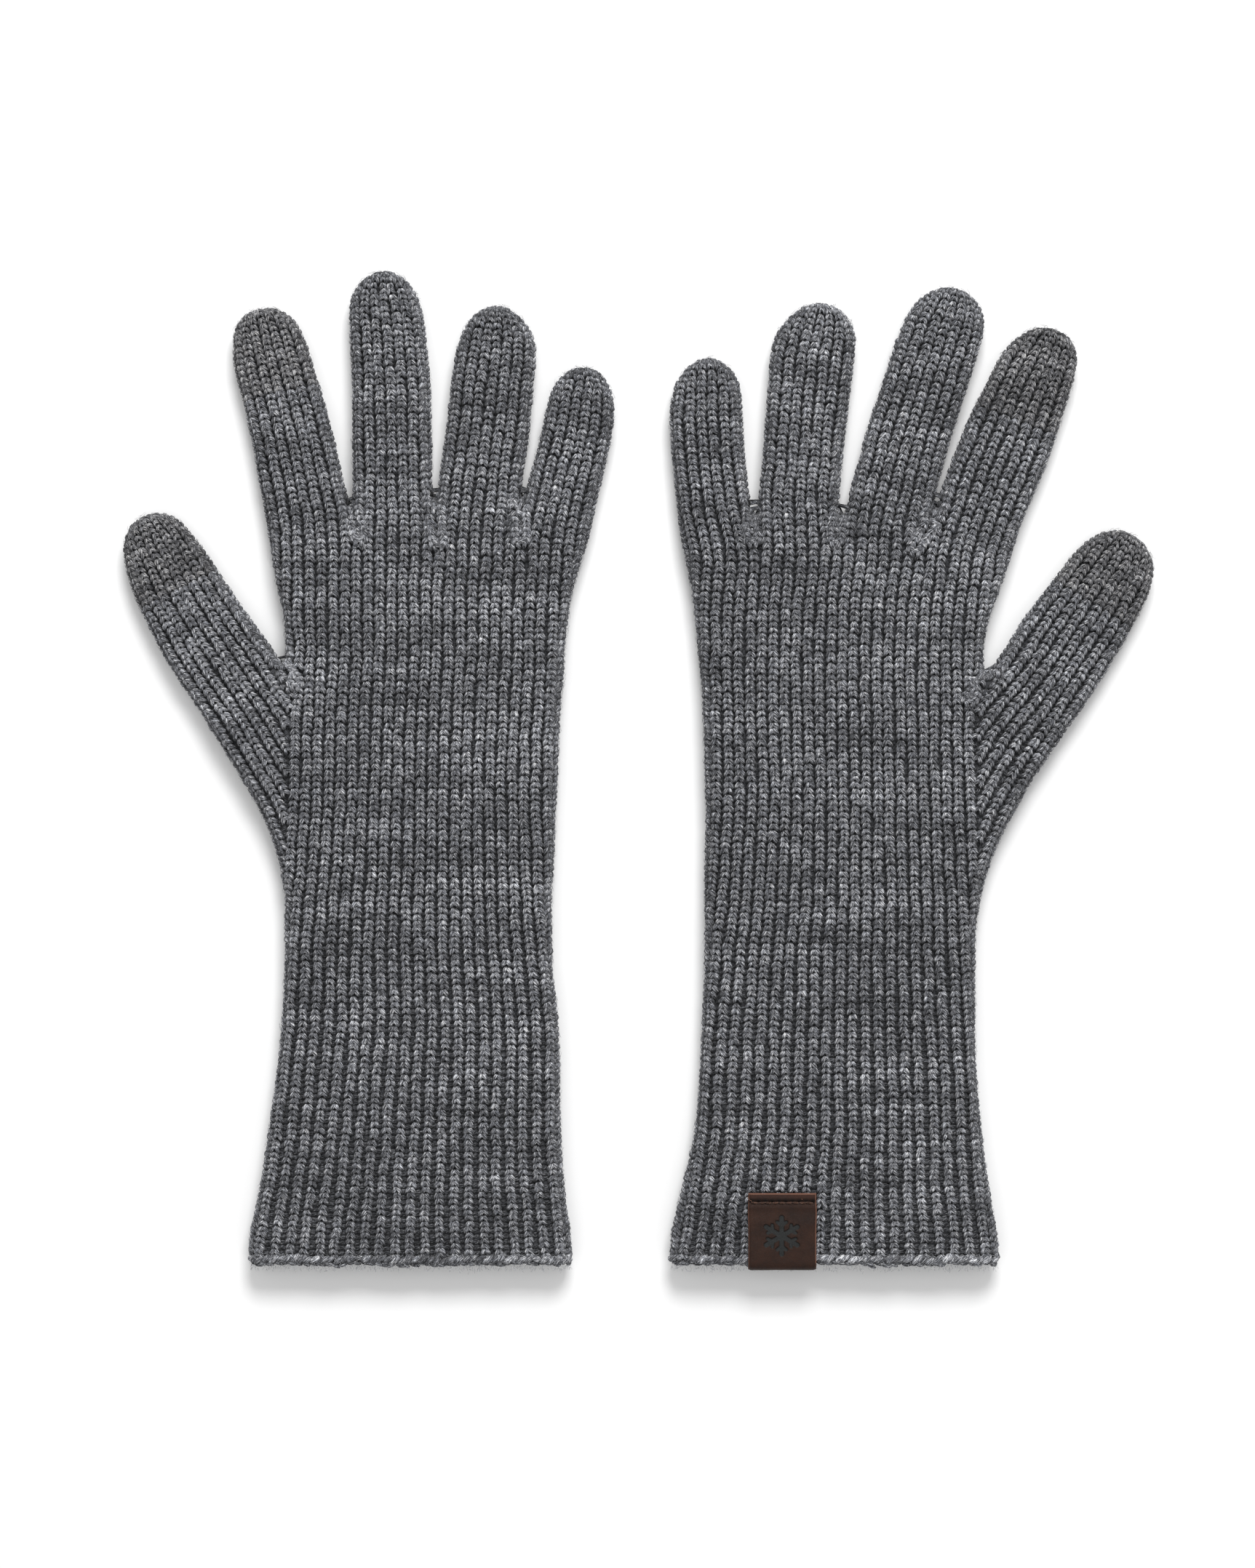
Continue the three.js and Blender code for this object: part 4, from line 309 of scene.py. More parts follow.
    def surface(self, V, key, under, depth=0.0):
        """places virtual points on the cloth: past the side curve they roll round the side.
        depth goes inwards from the middle of the knit"""
        find = self.trees[key].find
        idx = np.fromiter((find((x, y, 0.0))[1] for x, y in V), np.int64, len(V))
        f, T, N = self.B[idx], self.BT[idx], self.BN[idx]
        q = V - f
        foot = f + np.clip((q * T).sum(1), -0.3, 0.3)[:, None] * T
        e = ((V - foot) * N).sum(1)
        ang = np.clip(e, 0, None) / RM
        rm = RM - depth
        xy = np.where(e[:, None] > 0, foot + N * (rm * np.sin(ang))[:, None], V)
        h = self.height(np.where(e[:, None] > 0, foot, V))
        c = np.cos(ang)
        hm = h / 2 - YARN - depth
        if not under:
            flat = np.clip(c, 0, 1)
            hm = hm + 0.30 * noise(xy[:, 0] / 17, xy[:, 1] / 23, 5 + (self.mir > 0)) * flat
            hm = hm - 0.6 * self.cleft(V)
            if self.label is not None:
                x0, x1, y1 = self.label
                hm = hm - 0.55 * smooth((xy[:, 0] - x0 + 2.5) / 2) * smooth((x1 + 2.5 - xy[:, 0]) / 2) * smooth((y1 + 1.5 - xy[:, 1]) / 2)
        else:
            hm = hm - 0.35
        sign = -1.0 if under else 1.0
        z = h / 2 + sign * hm * c
        n = np.c_[N * np.sin(ang)[:, None], sign * c]
        return np.c_[xy, z], n, e

    # -------------------------------------------------------------- wales
    def line(self, which, y):
        return table(self.left_line if which == 0 else self.right_line, y - SHIFT[1]) + SHIFT[0]

    def palm_x(self, i, y):
        xc = (self.line(0, y) + self.line(1, y)) / 2
        return xc + (i - 13) * table(PITCH, y - SHIFT[1])

    def rows(self):
        """the heights of the trunk's rows"""
        y, out = HEM_Y + 2.6, []
        while y < 90:
            out.append(y)
            y += 1.72 + 0.16 * smooth((y - HEM_Y) / 40)
        return np.array(out)

    def wales(self):
        """every wale as (name, points, pitch at the points, key per point, index, row numbers)"""
        out = []
        ys = self.rows()
        bounds = []
        order = sorted(self.first.items(), key=lambda kv: kv[1])
        for n, (name, i0) in enumerate(order):
            inner = self.digits[name].inner
            bounds.append((name, i0, i0 + inner))
        lo, hi = bounds[0][1], bounds[-1][2]
        for i in range(-5, 32):
            name = None
            for nm, a, b in bounds:
                if a <= i < b:
                    name, k = nm, i - a
            if i == lo - 1:
                name, k = bounds[0][0], -1
            if i == hi:
                name, k = bounds[-1][0], self.digits[bounds[-1][0]].inner
            y0 = HEM_Y
            hidden = self.keep[2] if not (self.keep[0] <= i <= self.keep[1]) and lo - 1 <= i <= hi else HEM_Y
            if name is None:
                # a wale that only the wide cuff shows
                yy = ys[ys < self.keep[2] - 30] if self.is_thumb_side(i) else ys[ys < 60]
                if len(yy) < 3:
                    continue
                pts = np.c_[self.palm_x(i, yy), yy]
                out.append(dict(pts=pts, pitch=table(PITCH, yy - SHIFT[1]), key=["palm"] * len(yy), i=i, digit=None, row=np.arange(len(yy))))
                continue
            d = self.digits[name]
            # where the finger's own frame takes over from the palm's
            low = d.at(d.root - 13, 0)[0][1]
            yy = ys[ys < low]
            s0 = d.root + 3.0
            t0, p0 = d.wale(k, s0)
            A = np.array([self.palm_x(i, yy[-1]), yy[-1]])
            A1 = np.array([self.palm_x(i, yy[-1] + 0.5), yy[-1] + 0.5])
            Bp = d.at(s0, t0)[0]
            B1 = d.at(s0 + 0.5, d.wale(k, s0 + 0.5)[0])[0]
            n = int(round((np.linalg.norm(d.at(s0, 0)[0] - np.array([self.palm_x(bounds[0][1] if False else i, yy[-1]), yy[-1]])) * 0 + (d.at(s0, 0)[0][1] - yy[-1])) / (ROW * d.d[1])))
            n = max(n, 3)
            gap = np.linalg.norm(Bp - A)
            ta, tb = (A1 - A) / 0.5 * gap, (B1 - Bp) / 0.5 * gap
            u = (np.arange(1, n) / n)[:, None]
            mid = (2 * u**3 - 3 * u**2 + 1) * A + (u**3 - 2 * u**2 + u) * ta + (-2 * u**3 + 3 * u**2) * Bp + (u**3 - u**2) * tb
            ss = np.arange(s0, d.end - 0.4, ROW)
            tt, pp = d.wale(k, ss)
            fing = d.at(ss, tt)
            pts = np.r_[np.c_[self.palm_x(i, yy), yy], mid, fing]
            pa = table(PITCH, yy - SHIFT[1])
            pitch = np.r_[pa, np.linspace(pa[-1], pp[0], n + 1)[1:-1], pp]
            key = ["palm"] * (len(yy) + len(mid) // 2) + [name] * (len(mid) - len(mid) // 2 + len(fing))
            row = np.arange(len(pts))
            use = pts[:, 1] >= y0
            if hidden > HEM_Y:
                # under the thumb's gusset the palm's own ribs lie deeper
                use = pts[:, 1] >= self.thumb_edge[0][1] + 4
            sunk = np.where(pts[:, 1] < hidden, 1.0, 0.0)
            out.append(dict(pts=pts[use], pitch=pitch[use], key=[q for q, m in zip(key, use) if m], i=i, digit=name, row=row[use], sunk=sunk[use]))
        # side wales that start in the crotches
        for n, (name, a, b) in enumerate(bounds):
            d = self.digits[name]
            for k, edge in ((-1, n > 0), (d.inner, n < len(bounds) - 1)):
                if not edge:
                    continue
                ss = np.arange(d.root - 2.6, d.end - 0.4, ROW)
                tt, pp = d.wale(k, ss)
                out.append(dict(pts=d.at(ss, tt), pitch=pp, key=[name] * len(ss), i=a + k + 100, digit=name, row=np.arange(len(ss)) + 110))
        # short ribs in the web of the thumb
        for ax, ay, bx, by in WEBS[self.name]:
            a, b = np.array([ax, ay]) + SHIFT, np.array([bx, by]) + SHIFT
            n = int(np.linalg.norm(b - a) / ROW) + 1
            pts = a + (b - a) * (np.arange(n) / (n - 1))[:, None]
            out.append(dict(pts=pts, pitch=np.full(n, RIB), key=["all"] * n, i=59, digit=None, row=np.arange(n) + 96, sunk=np.full(n, 0.35)))
        # short ribs that lie deeper under each finger crotch
        for ax, ay, bx, by in CLEFTS[self.name]:
            for off in (-3.1, -1.1, 1.1, 3.1):
                a, b = np.array([ax + off, ay + 0.5]) + SHIFT, np.array([bx + off, by]) + SHIFT
                n = int(np.linalg.norm(b - a) / ROW) + 1
                pts = a + (b - a) * (np.arange(n) / (n - 1))[:, None]
                out.append(dict(pts=pts, pitch=np.full(n, RIB), key=["all"] * n, i=self.cleft_side(ax), digit=None, row=np.arange(n) + 90, sunk=np.full(n, 0.42), deep=True))
        # the thumb, whose wales run on down its gusset beside the outer edge
        d = self.digits["thumb"]
        outer = -1 if self.mir > 0 else 1
        s0 = 4.0
        for m in range(-1, d.inner + 1):
            k = m if outer < 0 else d.inner - 1 - m
            crotch = m == d.inner
            ss = np.arange(6.5 if crotch else s0, d.end - 0.4, ROW)
            tt, pp = d.wale(k, ss)
            pts = d.at(ss, tt)
            pitch = pp
            if not crotch:
                p0 = float(pp[0])
                off = (m + 1.05) * p0 - (EQ - SIDE)
                e = relax(resample(self.thumb_edge, step=1.0), 20)
                tan = np.gradient(e, axis=0)
                tan /= np.linalg.norm(tan, axis=1)[:, None]
                nrm = np.c_[tan[:, 1], -tan[:, 0]] * (1 if outer < 0 else -1)
                curve = e + nrm * off
                s_c, _ = d.local(curve)
                curve = curve[s_c < s0 - 7]
                if len(curve):
                    path = np.r_[curve, pts]
                    path = relax(resample(path, step=0.5), 60)
                    s_p, _ = d.local(path)
                    low = path[s_p < s0 + 8]
                    n = max(2, int(round(np.linalg.norm(np.diff(low, axis=0), axis=1).sum() / ROW)) + 1)
                    low = resample(low, n=n)[:-1]
                    high = d.at(np.arange(s0 + 8, d.end - 0.4, ROW), d.wale(k, np.arange(s0 + 8, d.end - 0.4, ROW))[0])
                    high_p = d.wale(k, np.arange(s0 + 8, d.end - 0.4, ROW))[1]
                    pts = np.r_[low, high]
                    pitch = np.r_[np.full(len(low), p0), high_p]
            # stop at the palm's edge wale
            edge_i = self.keep[0] if outer < 0 else self.keep[1]
            line = self.palm_x(edge_i, pts[:, 1])
            past = (line - pts[:, 0]) if outer < 0 else (pts[:, 0] - line)
            crotch_y = self.keep[2] + 4
            use = (past > 2.1) | (pts[:, 1] > crotch_y)
            # below the gusset's foot the palm's own wales make the side
            use &= (pts[:, 1] > self.thumb_edge[0][1] - 2) & (past > (1.2 if m >= 0 else 2.1))
            if use.sum() < 3:
                continue
            first = np.argmax(use)
            sel = slice(first, None)
            pts, pitch = pts[sel], pitch[sel]
            s_p, _ = d.local(pts)
            key = ["thumb"] * len(pts)
            out.append(dict(pts=pts, pitch=pitch, key=key, i=60 + m, digit="thumb", row=np.round(s_p / ROW).astype(int) + 100))
        return out

    def cleft_side(self, x):
        return 58 if x < (-64.5 if self.mir > 0 else 64.5) else 57

    def is_thumb_side(self, i):
        return i < 13 if self.mir > 0 else i > 13

    def region(self, pts, digit):
        """the piece each stitch belongs to"""
        out = np.array(["hand"] * len(pts), dtype=object)
        out[pts[:, 1] < CUFF_END] = "cuff"
        if digit:
            d = self.digits[digit]
            s, _ = d.local(pts)
            out[s > d.root + 0.5] = digit
            if d.touch:
                out[s > d.touch] = digit.replace("_finger", "") + "_tip"
        return out


# ------------------------------------------------------------------ yarn to mesh
TWIST = math.radians(19)


def tube_rings(C, N, rad, sides):
    """rings round the centre lines C (n, m, 3), whose outward directions are N"""
    T = np.empty_like(C)
    T[:, 1:-1] = C[:, 2:] - C[:, :-2]
    T[:, 0] = C[:, 1] - C[:, 0]
    T[:, -1] = C[:, -1] - C[:, -2]
    T /= np.linalg.norm(T, axis=2)[..., None] + 1e-9
    Bn = np.cross(T, N)
    Bn /= np.linalg.norm(Bn, axis=2)[..., None] + 1e-9
    N2 = np.cross(Bn, T)
    phi = 2 * math.pi * (np.arange(sides) + 0.5) / sides
    co = C[:, :, None, :] + Bn[:, :, None, :] * (rad[..., 0, None, None] * np.cos(phi)[None, None, :, None])
    co = co + N2[:, :, None, :] * (rad[..., 1, None, None] * np.sin(phi)[None, None, :, None])
    e0 = C[:, 0] - T[:, 0] * rad[:, 0, :1] * 0.7
    e1 = C[:, -1] + T[:, -1] * rad[:, -1, :1] * 0.7
    seg = np.linalg.norm(np.diff(C, axis=1), axis=2)
    u = np.concatenate([np.zeros((len(C), 1)), np.cumsum(seg, axis=1)], axis=1)
    w = rad.mean(axis=2)[:, :, None] * (math.pi / 2 - phi)[None, None, :]
    a = u[:, :, None] * math.cos(TWIST) - w * math.sin(TWIST)
    c = u[:, :, None] * math.sin(TWIST) + w * math.cos(TWIST)
    return co, e0, e1, a, c


class Piece:
    """collects closed yarn strands into one mesh"""

    def __init__(self, name):
        self.name = name
        self.co, self.quads, self.tris, self.tone, self.yarn, self.uv = [], [], [], [], [], []
        self.n = 0

    def add(self, C, N, rad, sides, tone, seed, under, shade=None):
        if not len(C):
            return
        n, m = C.shape[:2]
        co, e0, e1, a, c = tube_rings(C, N, rad, sides)
        per = m * sides + 2
        V = np.concatenate([co.reshape(n, m * sides, 3), e0[:, None], e1[:, None]], axis=1)
        idx = np.arange(m * sides).reshape(m, sides)
        nx = np.roll(idx, -1, axis=1)
        q = np.stack([idx[:-1], idx[1:], nx[1:], nx[:-1]], axis=-1).reshape(-1, 4)
        t0 = np.stack([np.full(sides, m * sides), idx[0], nx[0]], axis=-1)
        t1 = np.stack([np.full(sides, m * sides + 1), nx[-1], idx[-1]], axis=-1)
        t = np.concatenate([t0, t1])
        base = self.n + np.arange(n)[:, None, None] * per
        self.quads.append((q[None] + base).reshape(-1, 4))
        self.tris.append((t[None] + base).reshape(-1, 3))
        self.co.append(V.reshape(-1, 3))
        shade = np.ones(m) if shade is None else np.asarray(shade, float)
        ring = np.r_[np.repeat(shade, sides), shade[0] * 0.9, shade[-1] * 0.9]
        self.tone.append((np.asarray(tone)[:, None] * ring[None, :]).ravel())
        ya = np.concatenate([a.reshape(n, -1), a[:, :1, 0] - 0.3, a[:, -1:, 0] + 0.3], axis=1)
        yc = np.concatenate([c.reshape(n, -1), c[:, :1, 0], c[:, -1:, 0]], axis=1)
        self.yarn.append(np.stack([ya, yc, np.repeat(seed[:, None], per, axis=1)], axis=-1).reshape(-1, 3))
        uv = V.reshape(-1, 3)[:, :2] * 0.001
        self.uv.append(np.c_[uv, np.full(len(uv), 1.0 if under else 0.0)])
        self.n += n * per

    def build(self, material, slot):
        co = np.concatenate(self.co) * 0.001
        quads, tris = np.concatenate(self.quads), np.concatenate(self.tris)
        me = bpy.data.meshes.new(self.name)
        me.vertices.add(len(co))
        me.vertices.foreach_set("co", co.astype(np.float32).ravel())
        loops = np.concatenate([quads.ravel(), tris.ravel()]).astype(np.int32)
        me.loops.add(len(loops))
        me.loops.foreach_set("vertex_index", loops)
        starts = np.concatenate([np.arange(len(quads)) * 4, len(quads) * 4 + np.arange(len(tris)) * 3]).astype(np.int32)
        me.polygons.add(len(starts))
        me.polygons.foreach_set("loop_start", starts)
        me.polygons.foreach_set("use_smooth", np.ones(len(starts), bool))
        at = me.attributes.new("tone", "FLOAT", "POINT")
        at.data.foreach_set("value", np.concatenate(self.tone).astype(np.float32))
        at = me.attributes.new("yarn", "FLOAT_VECTOR", "POINT")
        at.data.foreach_set("vector", np.concatenate(self.yarn).astype(np.float32).ravel())
        uv = np.concatenate(self.uv)
        lo, hi = uv[:, :2].min(0), uv[:, :2].max(0)
        both = uv[:, 2].min() != uv[:, 2].max()
        span = max(hi[0] - lo[0], hi[1] - lo[1]) * 1.02
        p = (uv[:, :2] - lo) / span + 0.005
        if both:
            p[:, 0] = p[:, 0] * 0.5 + uv[:, 2] * 0.5
        layer = me.uv_layers.new(name="OFBake")
        layer.data.foreach_set("uv", p[loops].astype(np.float32).ravel())
        me.update(calc_edges=True)
        me.validate(clean_customdata=False)
        ob = bpy.data.objects.new(self.name, me)
        bpy.context.scene.collection.objects.link(ob)
        me.materials.append(material)
        return ob


# one leg of a stitch, from its foot at the side of the rib to the apex: sideways, along, height,
# half width, half thickness
LEG_TOP = np.array([
    [1.27, -1.12, -0.72, 0.34, 0.32],
    [1.14, -0.54, 0.06, 0.69, 0.58],
    [0.82, 0.08, 0.48, 0.82, 0.70],
    [0.42, 0.62, 0.46, 0.82, 0.66],
    [0.08, 1.16, -0.30, 0.46, 0.42],
])
# painted shade and highlight along each leg: the foot and the end, where the leg dives under its neighbours, are
# darkened, and the raised middle is lightened
LEG_SHADE = np.array([0.27, 0.79, 1.12, 1.10, 0.50])
LEG_UNDER = LEG_TOP[[0, 1, 3, 4]] + np.array([[0, 0, 0, 0.1, 0.05]] * 4)


def tone_of(V, row, under):
    x, y = V[:, 0], V[:, 1]
    k = 40 if under else 0
    t = 0.095 * noise(x / 26 + 7, row * 0.85, 11 + k) + 0.085 * noise(x / 11, y / 6.0, 12 + k)
    t += 0.07 * noise(x / 38, y / 13, 13 + k) + 0.05 * noise(x / 70, row * 0.37, 14 + k)
    return 1 + t


def stitches(glove, store, under):
    hooks = None if under else np.concatenate(list(glove.hook_lines.values()))
    keep_e = EQ - 1.5 if under else EQ + 1.4
    prof = LEG_UNDER if under else LEG_TOP
    sides = 5 if under else 6
    for w in glove.wales():
        pts, pitch = w["pts"], w["pitch"]
        if len(pts) < 3 or (under and w.get("deep")):
            continue
        A = np.gradient(pts, axis=0)
        gap = np.linalg.norm(A, axis=1)
        A = A / gap[:, None]
        side = np.c_[A[:, 1], -A[:, 0]]
        jit = rng.normal(0, 1, (len(pts), 4))
        V = pts + side * (jit[:, :1] * 0.10 + 0.30 * noise(pts[:, 1] / 8, np.full(len(pts), w["i"] * 3.1), 21)[:, None] + 0.12 * noise(pts[:, 1] / 2.6, np.full(len(pts), w["i"] * 5.3), 24)[:, None]) + A * (jit[:, 1:2] * 0.10 + 0.25 * noise(pts[:, 0] / 16, pts[:, 1] / 12, 22)[:, None])
        keys = np.array(w["key"], dtype=object)
        e = np.empty(len(pts))
        for key in set(w["key"]):
            m = keys == key
            e[m] = glove.surface(V[m], key, under)[2]
        ok = (e <= keep_e) & (pitch > 0.9)
        bars = ok.copy()
        if hooks is not None:
            ok &= np.min(np.hypot(V[:, None, 0] - hooks[None, :, 0], V[:, None, 1] - hooks[None, :, 1]), axis=1) > 0.9
        reg = glove.region(pts, w["digit"])
        w["sunk"] = w.get("sunk", np.zeros(len(pts)))
        wide = np.minimum(1.0, pitch / RIB) * (1 + 0.05 * jit[:, 2] + 0.05 * noise(pts[:, 1] / 6, np.full(len(pts), w["i"] * 1.7), 23))
        lng = np.clip(gap / ROW, 0.75, 1.25)
        # painted shade: stitches along each crease below a crotch are darkened by up to 72%
        tone = tone_of(V, w["row"].astype(float), under) * (1 if under or w.get("deep") else 1 - 0.72 * glove.cleft(V))
        for key in set(w["key"]):
            for r in set(reg):
                m = ok & (keys == key) & (reg == r)
                k = int(m.sum())
                if not k:
                    continue
                for sgn in (-1, 1):
                    sc = wide[m][:, None]
                    slip = rng.normal(0, 0.09, (k, 1, 1))
                    ring = V[m][:, None, :] + side[m][:, None, :] * (sgn * prof[None, :, 0:1] * sc[..., None] + rng.normal(0, 0.05, (k, len(prof), 1))) + A[m][:, None, :] * (prof[None, :, 1:2] * lng[m][:, None, None] + slip)
                    P, N, _ = glove.surface(ring.reshape(-1, 2), key, under)
                    P, N = P.reshape(k, -1, 3), N.reshape(k, -1, 3)
                    lift = prof[None, :, 2] - 1.6 * w["sunk"][m][:, None] + rng.normal(0, 0.08, (k, 1)) + rng.normal(0, 0.03, (k, len(prof)))
                    C = P + N * lift[..., None]
                    rad = np.stack([prof[None, :, 3] * np.maximum(sc, 0.5), np.repeat(prof[None, :, 4], k, 0) * np.maximum(sc, 0.6)], axis=-1)
                    rad = rad * (1 + rng.normal(0, 0.07, (k, 1, 1)))
                    name = r
                    # painted shade: ribs that lie deeper are darkened by up to 35% of their sunk depth
                    store(name, under, w["i"]).add(C, N, rad, sides, tone[m] * (1 - 0.35 * w["sunk"][m]) * (1 + rng.normal(0, 0.055, k)), rng.uniform(0, 400, k), under, LEG_SHADE[[0, 1, 3, 4]] if under else LEG_SHADE)
        # the purl loops that fill the valleys between the ribs
        if (w["i"] < 50 or not under) and not w.get("deep"):
            mid = V + side * pitch[:, None] / 2
            wv = np.maximum(pitch - 1.55, 1.0)
            for key in set(w["key"]):
                P, N, em = glove.surface(mid, key, under)
                for r in set(reg):
                    m = (keys == key) & (reg == r) & (em <= keep_e - 0.8) & bars
                    if under:
                        m &= pitch > 3.85
                    k = int(m.sum())
                    if not k:
                        continue
                    wide_b = wv[m][:, None, None] * (1 + rng.normal(0, 0.06, (k, 1, 1)))
                    ring = mid[m][:, None, :] + side[m][:, None, :] * (BAR[None, :, 0:1] * wide_b) + A[m][:, None, :] * (BAR[None, :, 1:2] + rng.normal(0, 0.12, (k, 1, 1)) - 0.5)
                    P, N, _ = glove.surface(ring.reshape(-1, 2), key, under)
                    P, N = P.reshape(k, -1, 3), N.reshape(k, -1, 3)
                    C = P + N * (BAR[None, :, 2:3] + rng.normal(0, 0.08, (k, 1, 1)) + 0.34 * (np.clip((pitch[m] - 3.5) / 0.9, 0, 1) - 0.55)[:, None, None])
                    rad = np.repeat(BAR[None, :, 3:5], k, 0) * (1 + rng.normal(0, 0.07, (k, 1, 1)))
                    # painted shade: the purl loops are coloured at half to two thirds of the yarn's tone, and darker at
                    # their ends, for the shade in the valleys
                    store(r, under, w["i"], True).add(C, N, rad, 5, tone[m] * (0.50 + 0.16 * np.clip((pitch[m] - 3.5) / 0.9, 0, 1)) * (1 + rng.normal(0, 0.06, k)), rng.uniform(0, 400, k), under, [0.8, 1.08, 1.08, 0.8])


# a purl loop, across the valley: sideways as a share of its width, along, height, half width,
# half thickness
BAR = np.array([
    [-0.50, -0.44, -1.16, 0.66, 0.36],
    [-0.20, 0.16, -0.98, 0.92, 0.46],
    [0.20, 0.16, -0.98, 0.92, 0.46],
    [0.50, -0.44, -1.16, 0.66, 0.36],
])


def edge_wales(glove, store):
    """three ribs round the sides, set a little deeper, that close the gaps where the flat ribs run out"""
    B, BN, BT = glove.B, glove.BN, glove.BT
    closed = np.r_[B, B[:1]]
    arc = np.r_[0, np.cumsum(np.linalg.norm(np.diff(closed, axis=0), axis=1))]
    total = arc[-1]
    cols = np.c_[closed, np.r_[BN, BN[:1]]]

    def at(s):
        s = np.mod(s, total)
        out = np.stack([np.interp(s, arc, cols[:, k]) for k in range(4)], -1)
        nrm = out[..., 2:] / (np.linalg.norm(out[..., 2:], axis=-1)[..., None] + 1e-9)
        return out[..., :2], nrm

    for e0, sink in ((EQ - 2.5, -0.55), (EQ, -0.42), (EQ + 2.5, -0.55)):
        s = np.arange(0, total, ROW) + rng.normal(0, 0.1, len(np.arange(0, total, ROW)))
        foot, nrm = at(s)
        near = np.clip(np.searchsorted(arc, np.mod(s, total)), 0, len(B) - 1)
        tag = glove.tag[near]
        run = np.where(BT[near, 1] >= 0, 1.0, -1.0)
        use = foot[:, 1] > HEM_Y + 2.4
        reg = np.array(["hand"] * len(s), dtype=object)
        reg[foot[:, 1] < CUFF_END] = "cuff"
        for name, d in glove.digits.items():
            along, _ = d.local(foot)
            m = (tag == name) & (along > d.root + 0.5)
            reg[m] = name
            if d.touch:
                reg[m & (along > d.touch)] = name.replace("_finger", "") + "_tip"
        # painted shade: these deeper-set side ribs are darkened by a tenth
        tone = tone_of(foot, np.mod(s, total) / ROW, False) * 0.9
        for r in set(reg):
            m = use & (reg == r)
            k = int(m.sum())
            if not k:
                continue
            for sgn in (-1, 1):
                ss = s[m][:, None] + run[m][:, None] * LEG_TOP[None, :, 1]
                ee = e0 + sgn * LEG_TOP[None, :, 0] * 0.95 + 0 * ss
                f, n2 = at(ss)
                ang = np.clip(ee, 0, None) / RM
                h = glove.height(f.reshape(-1, 2)).reshape(ss.shape)
                hm = h / 2 - YARN
                xy = f + n2 * (RM * np.sin(ang))[..., None]
                P = np.concatenate([xy, (h / 2 + hm * np.cos(ang))[..., None]], -1)
                N = np.concatenate([n2 * np.sin(ang)[..., None], np.cos(ang)[..., None]], -1)
                C = P + N * (LEG_TOP[None, :, 2] + sink)[..., None]
                rad = np.repeat(LEG_TOP[None, :, 3:5], k, 0) * 0.95
                store(r, False, 0, "edge").add(C, N, rad, 5, tone[m] * (1 + rng.normal(0, 0.05, k)), rng.uniform(0, 400, k), False, LEG_SHADE)


def fuzz(glove, store):
    """loose fibres that stand off the sides"""
    B, BN, BT = glove.B, glove.BN, glove.BT
    n = 2600
    i = rng.integers(0, len(B), n)
    i = i[(B[i, 1] > HEM_Y + 2)]
    # none down in the crotches, where fibres of two fingers would cross
    for name, d in glove.digits.items():
        along, _ = d.local(B[i])
        i = i[~((glove.tag[i] == name) & (along < d.root + 12) & (along > d.root - 10))]
    n = len(i)
    e = rng.uniform(EQ - 2.0, EQ + 1.4, n)
    ang = e / RM
    h = glove.height(B[i])
    hm = h / 2 - YARN
    nrm = BN[i]
    P = np.c_[B[i] + nrm * (RM * np.sin(ang))[:, None], h / 2 + hm * np.cos(ang)]
    N = np.c_[nrm * np.sin(ang)[:, None], np.cos(ang)]
    T = np.c_[BT[i], np.zeros(n)] * rng.choice([-1, 1], n)[:, None]
    long = rng.uniform(0.5, 1.5, n)[:, None]
    root = P + N * 0.5
    mid = root + N * (long * 0.55) + T * long * rng.normal(0.35, 0.3, (n, 1))
    end = root + N * (long * rng.uniform(0.5, 0.95, (n, 1))) + T * long * rng.normal(0.9, 0.4, (n, 1))
    C = np.stack([root, mid, end], 1)
    Nn = np.repeat(np.cross(N, T + N * 0.01)[:, None, :], 3, 1) + 1e-6
    rad = np.repeat(np.array([[[0.05, 0.05], [0.045, 0.045], [0.025, 0.025]]]), n, 0)
    for name in sorted(set(glove.tag[i])):
        m = glove.tag[i] == name
        if name == "trunk":
            for r, q in (("cuff", m & (B[i, 1] < CUFF_END)), ("hand", m & (B[i, 1] >= CUFF_END))):
                if q.any():
                    store(r, False, 0, "edge").add(C[q], Nn[q], rad[q], 3, np.full(int(q.sum()), 1.25), rng.uniform(0, 400, int(q.sum())), False)
            continue
        d = glove.digits[name]
        along, _ = d.local(B[i])
        parts = [(name, m & (along > d.root + 0.5) & ((along <= d.touch) if d.touch else True))]
        if d.touch:
            parts.append((name.replace("_finger", "") + "_tip", m & (along > d.touch)))
        parts.append(("hand", m & (along <= d.root + 0.5)))
        for r, q in parts:
            if q.any():
                store(r, False, 0, "edge").add(C[q], Nn[q], rad[q], 3, np.full(int(q.sum()), 1.25), rng.uniform(0, 400, int(q.sum())), False)


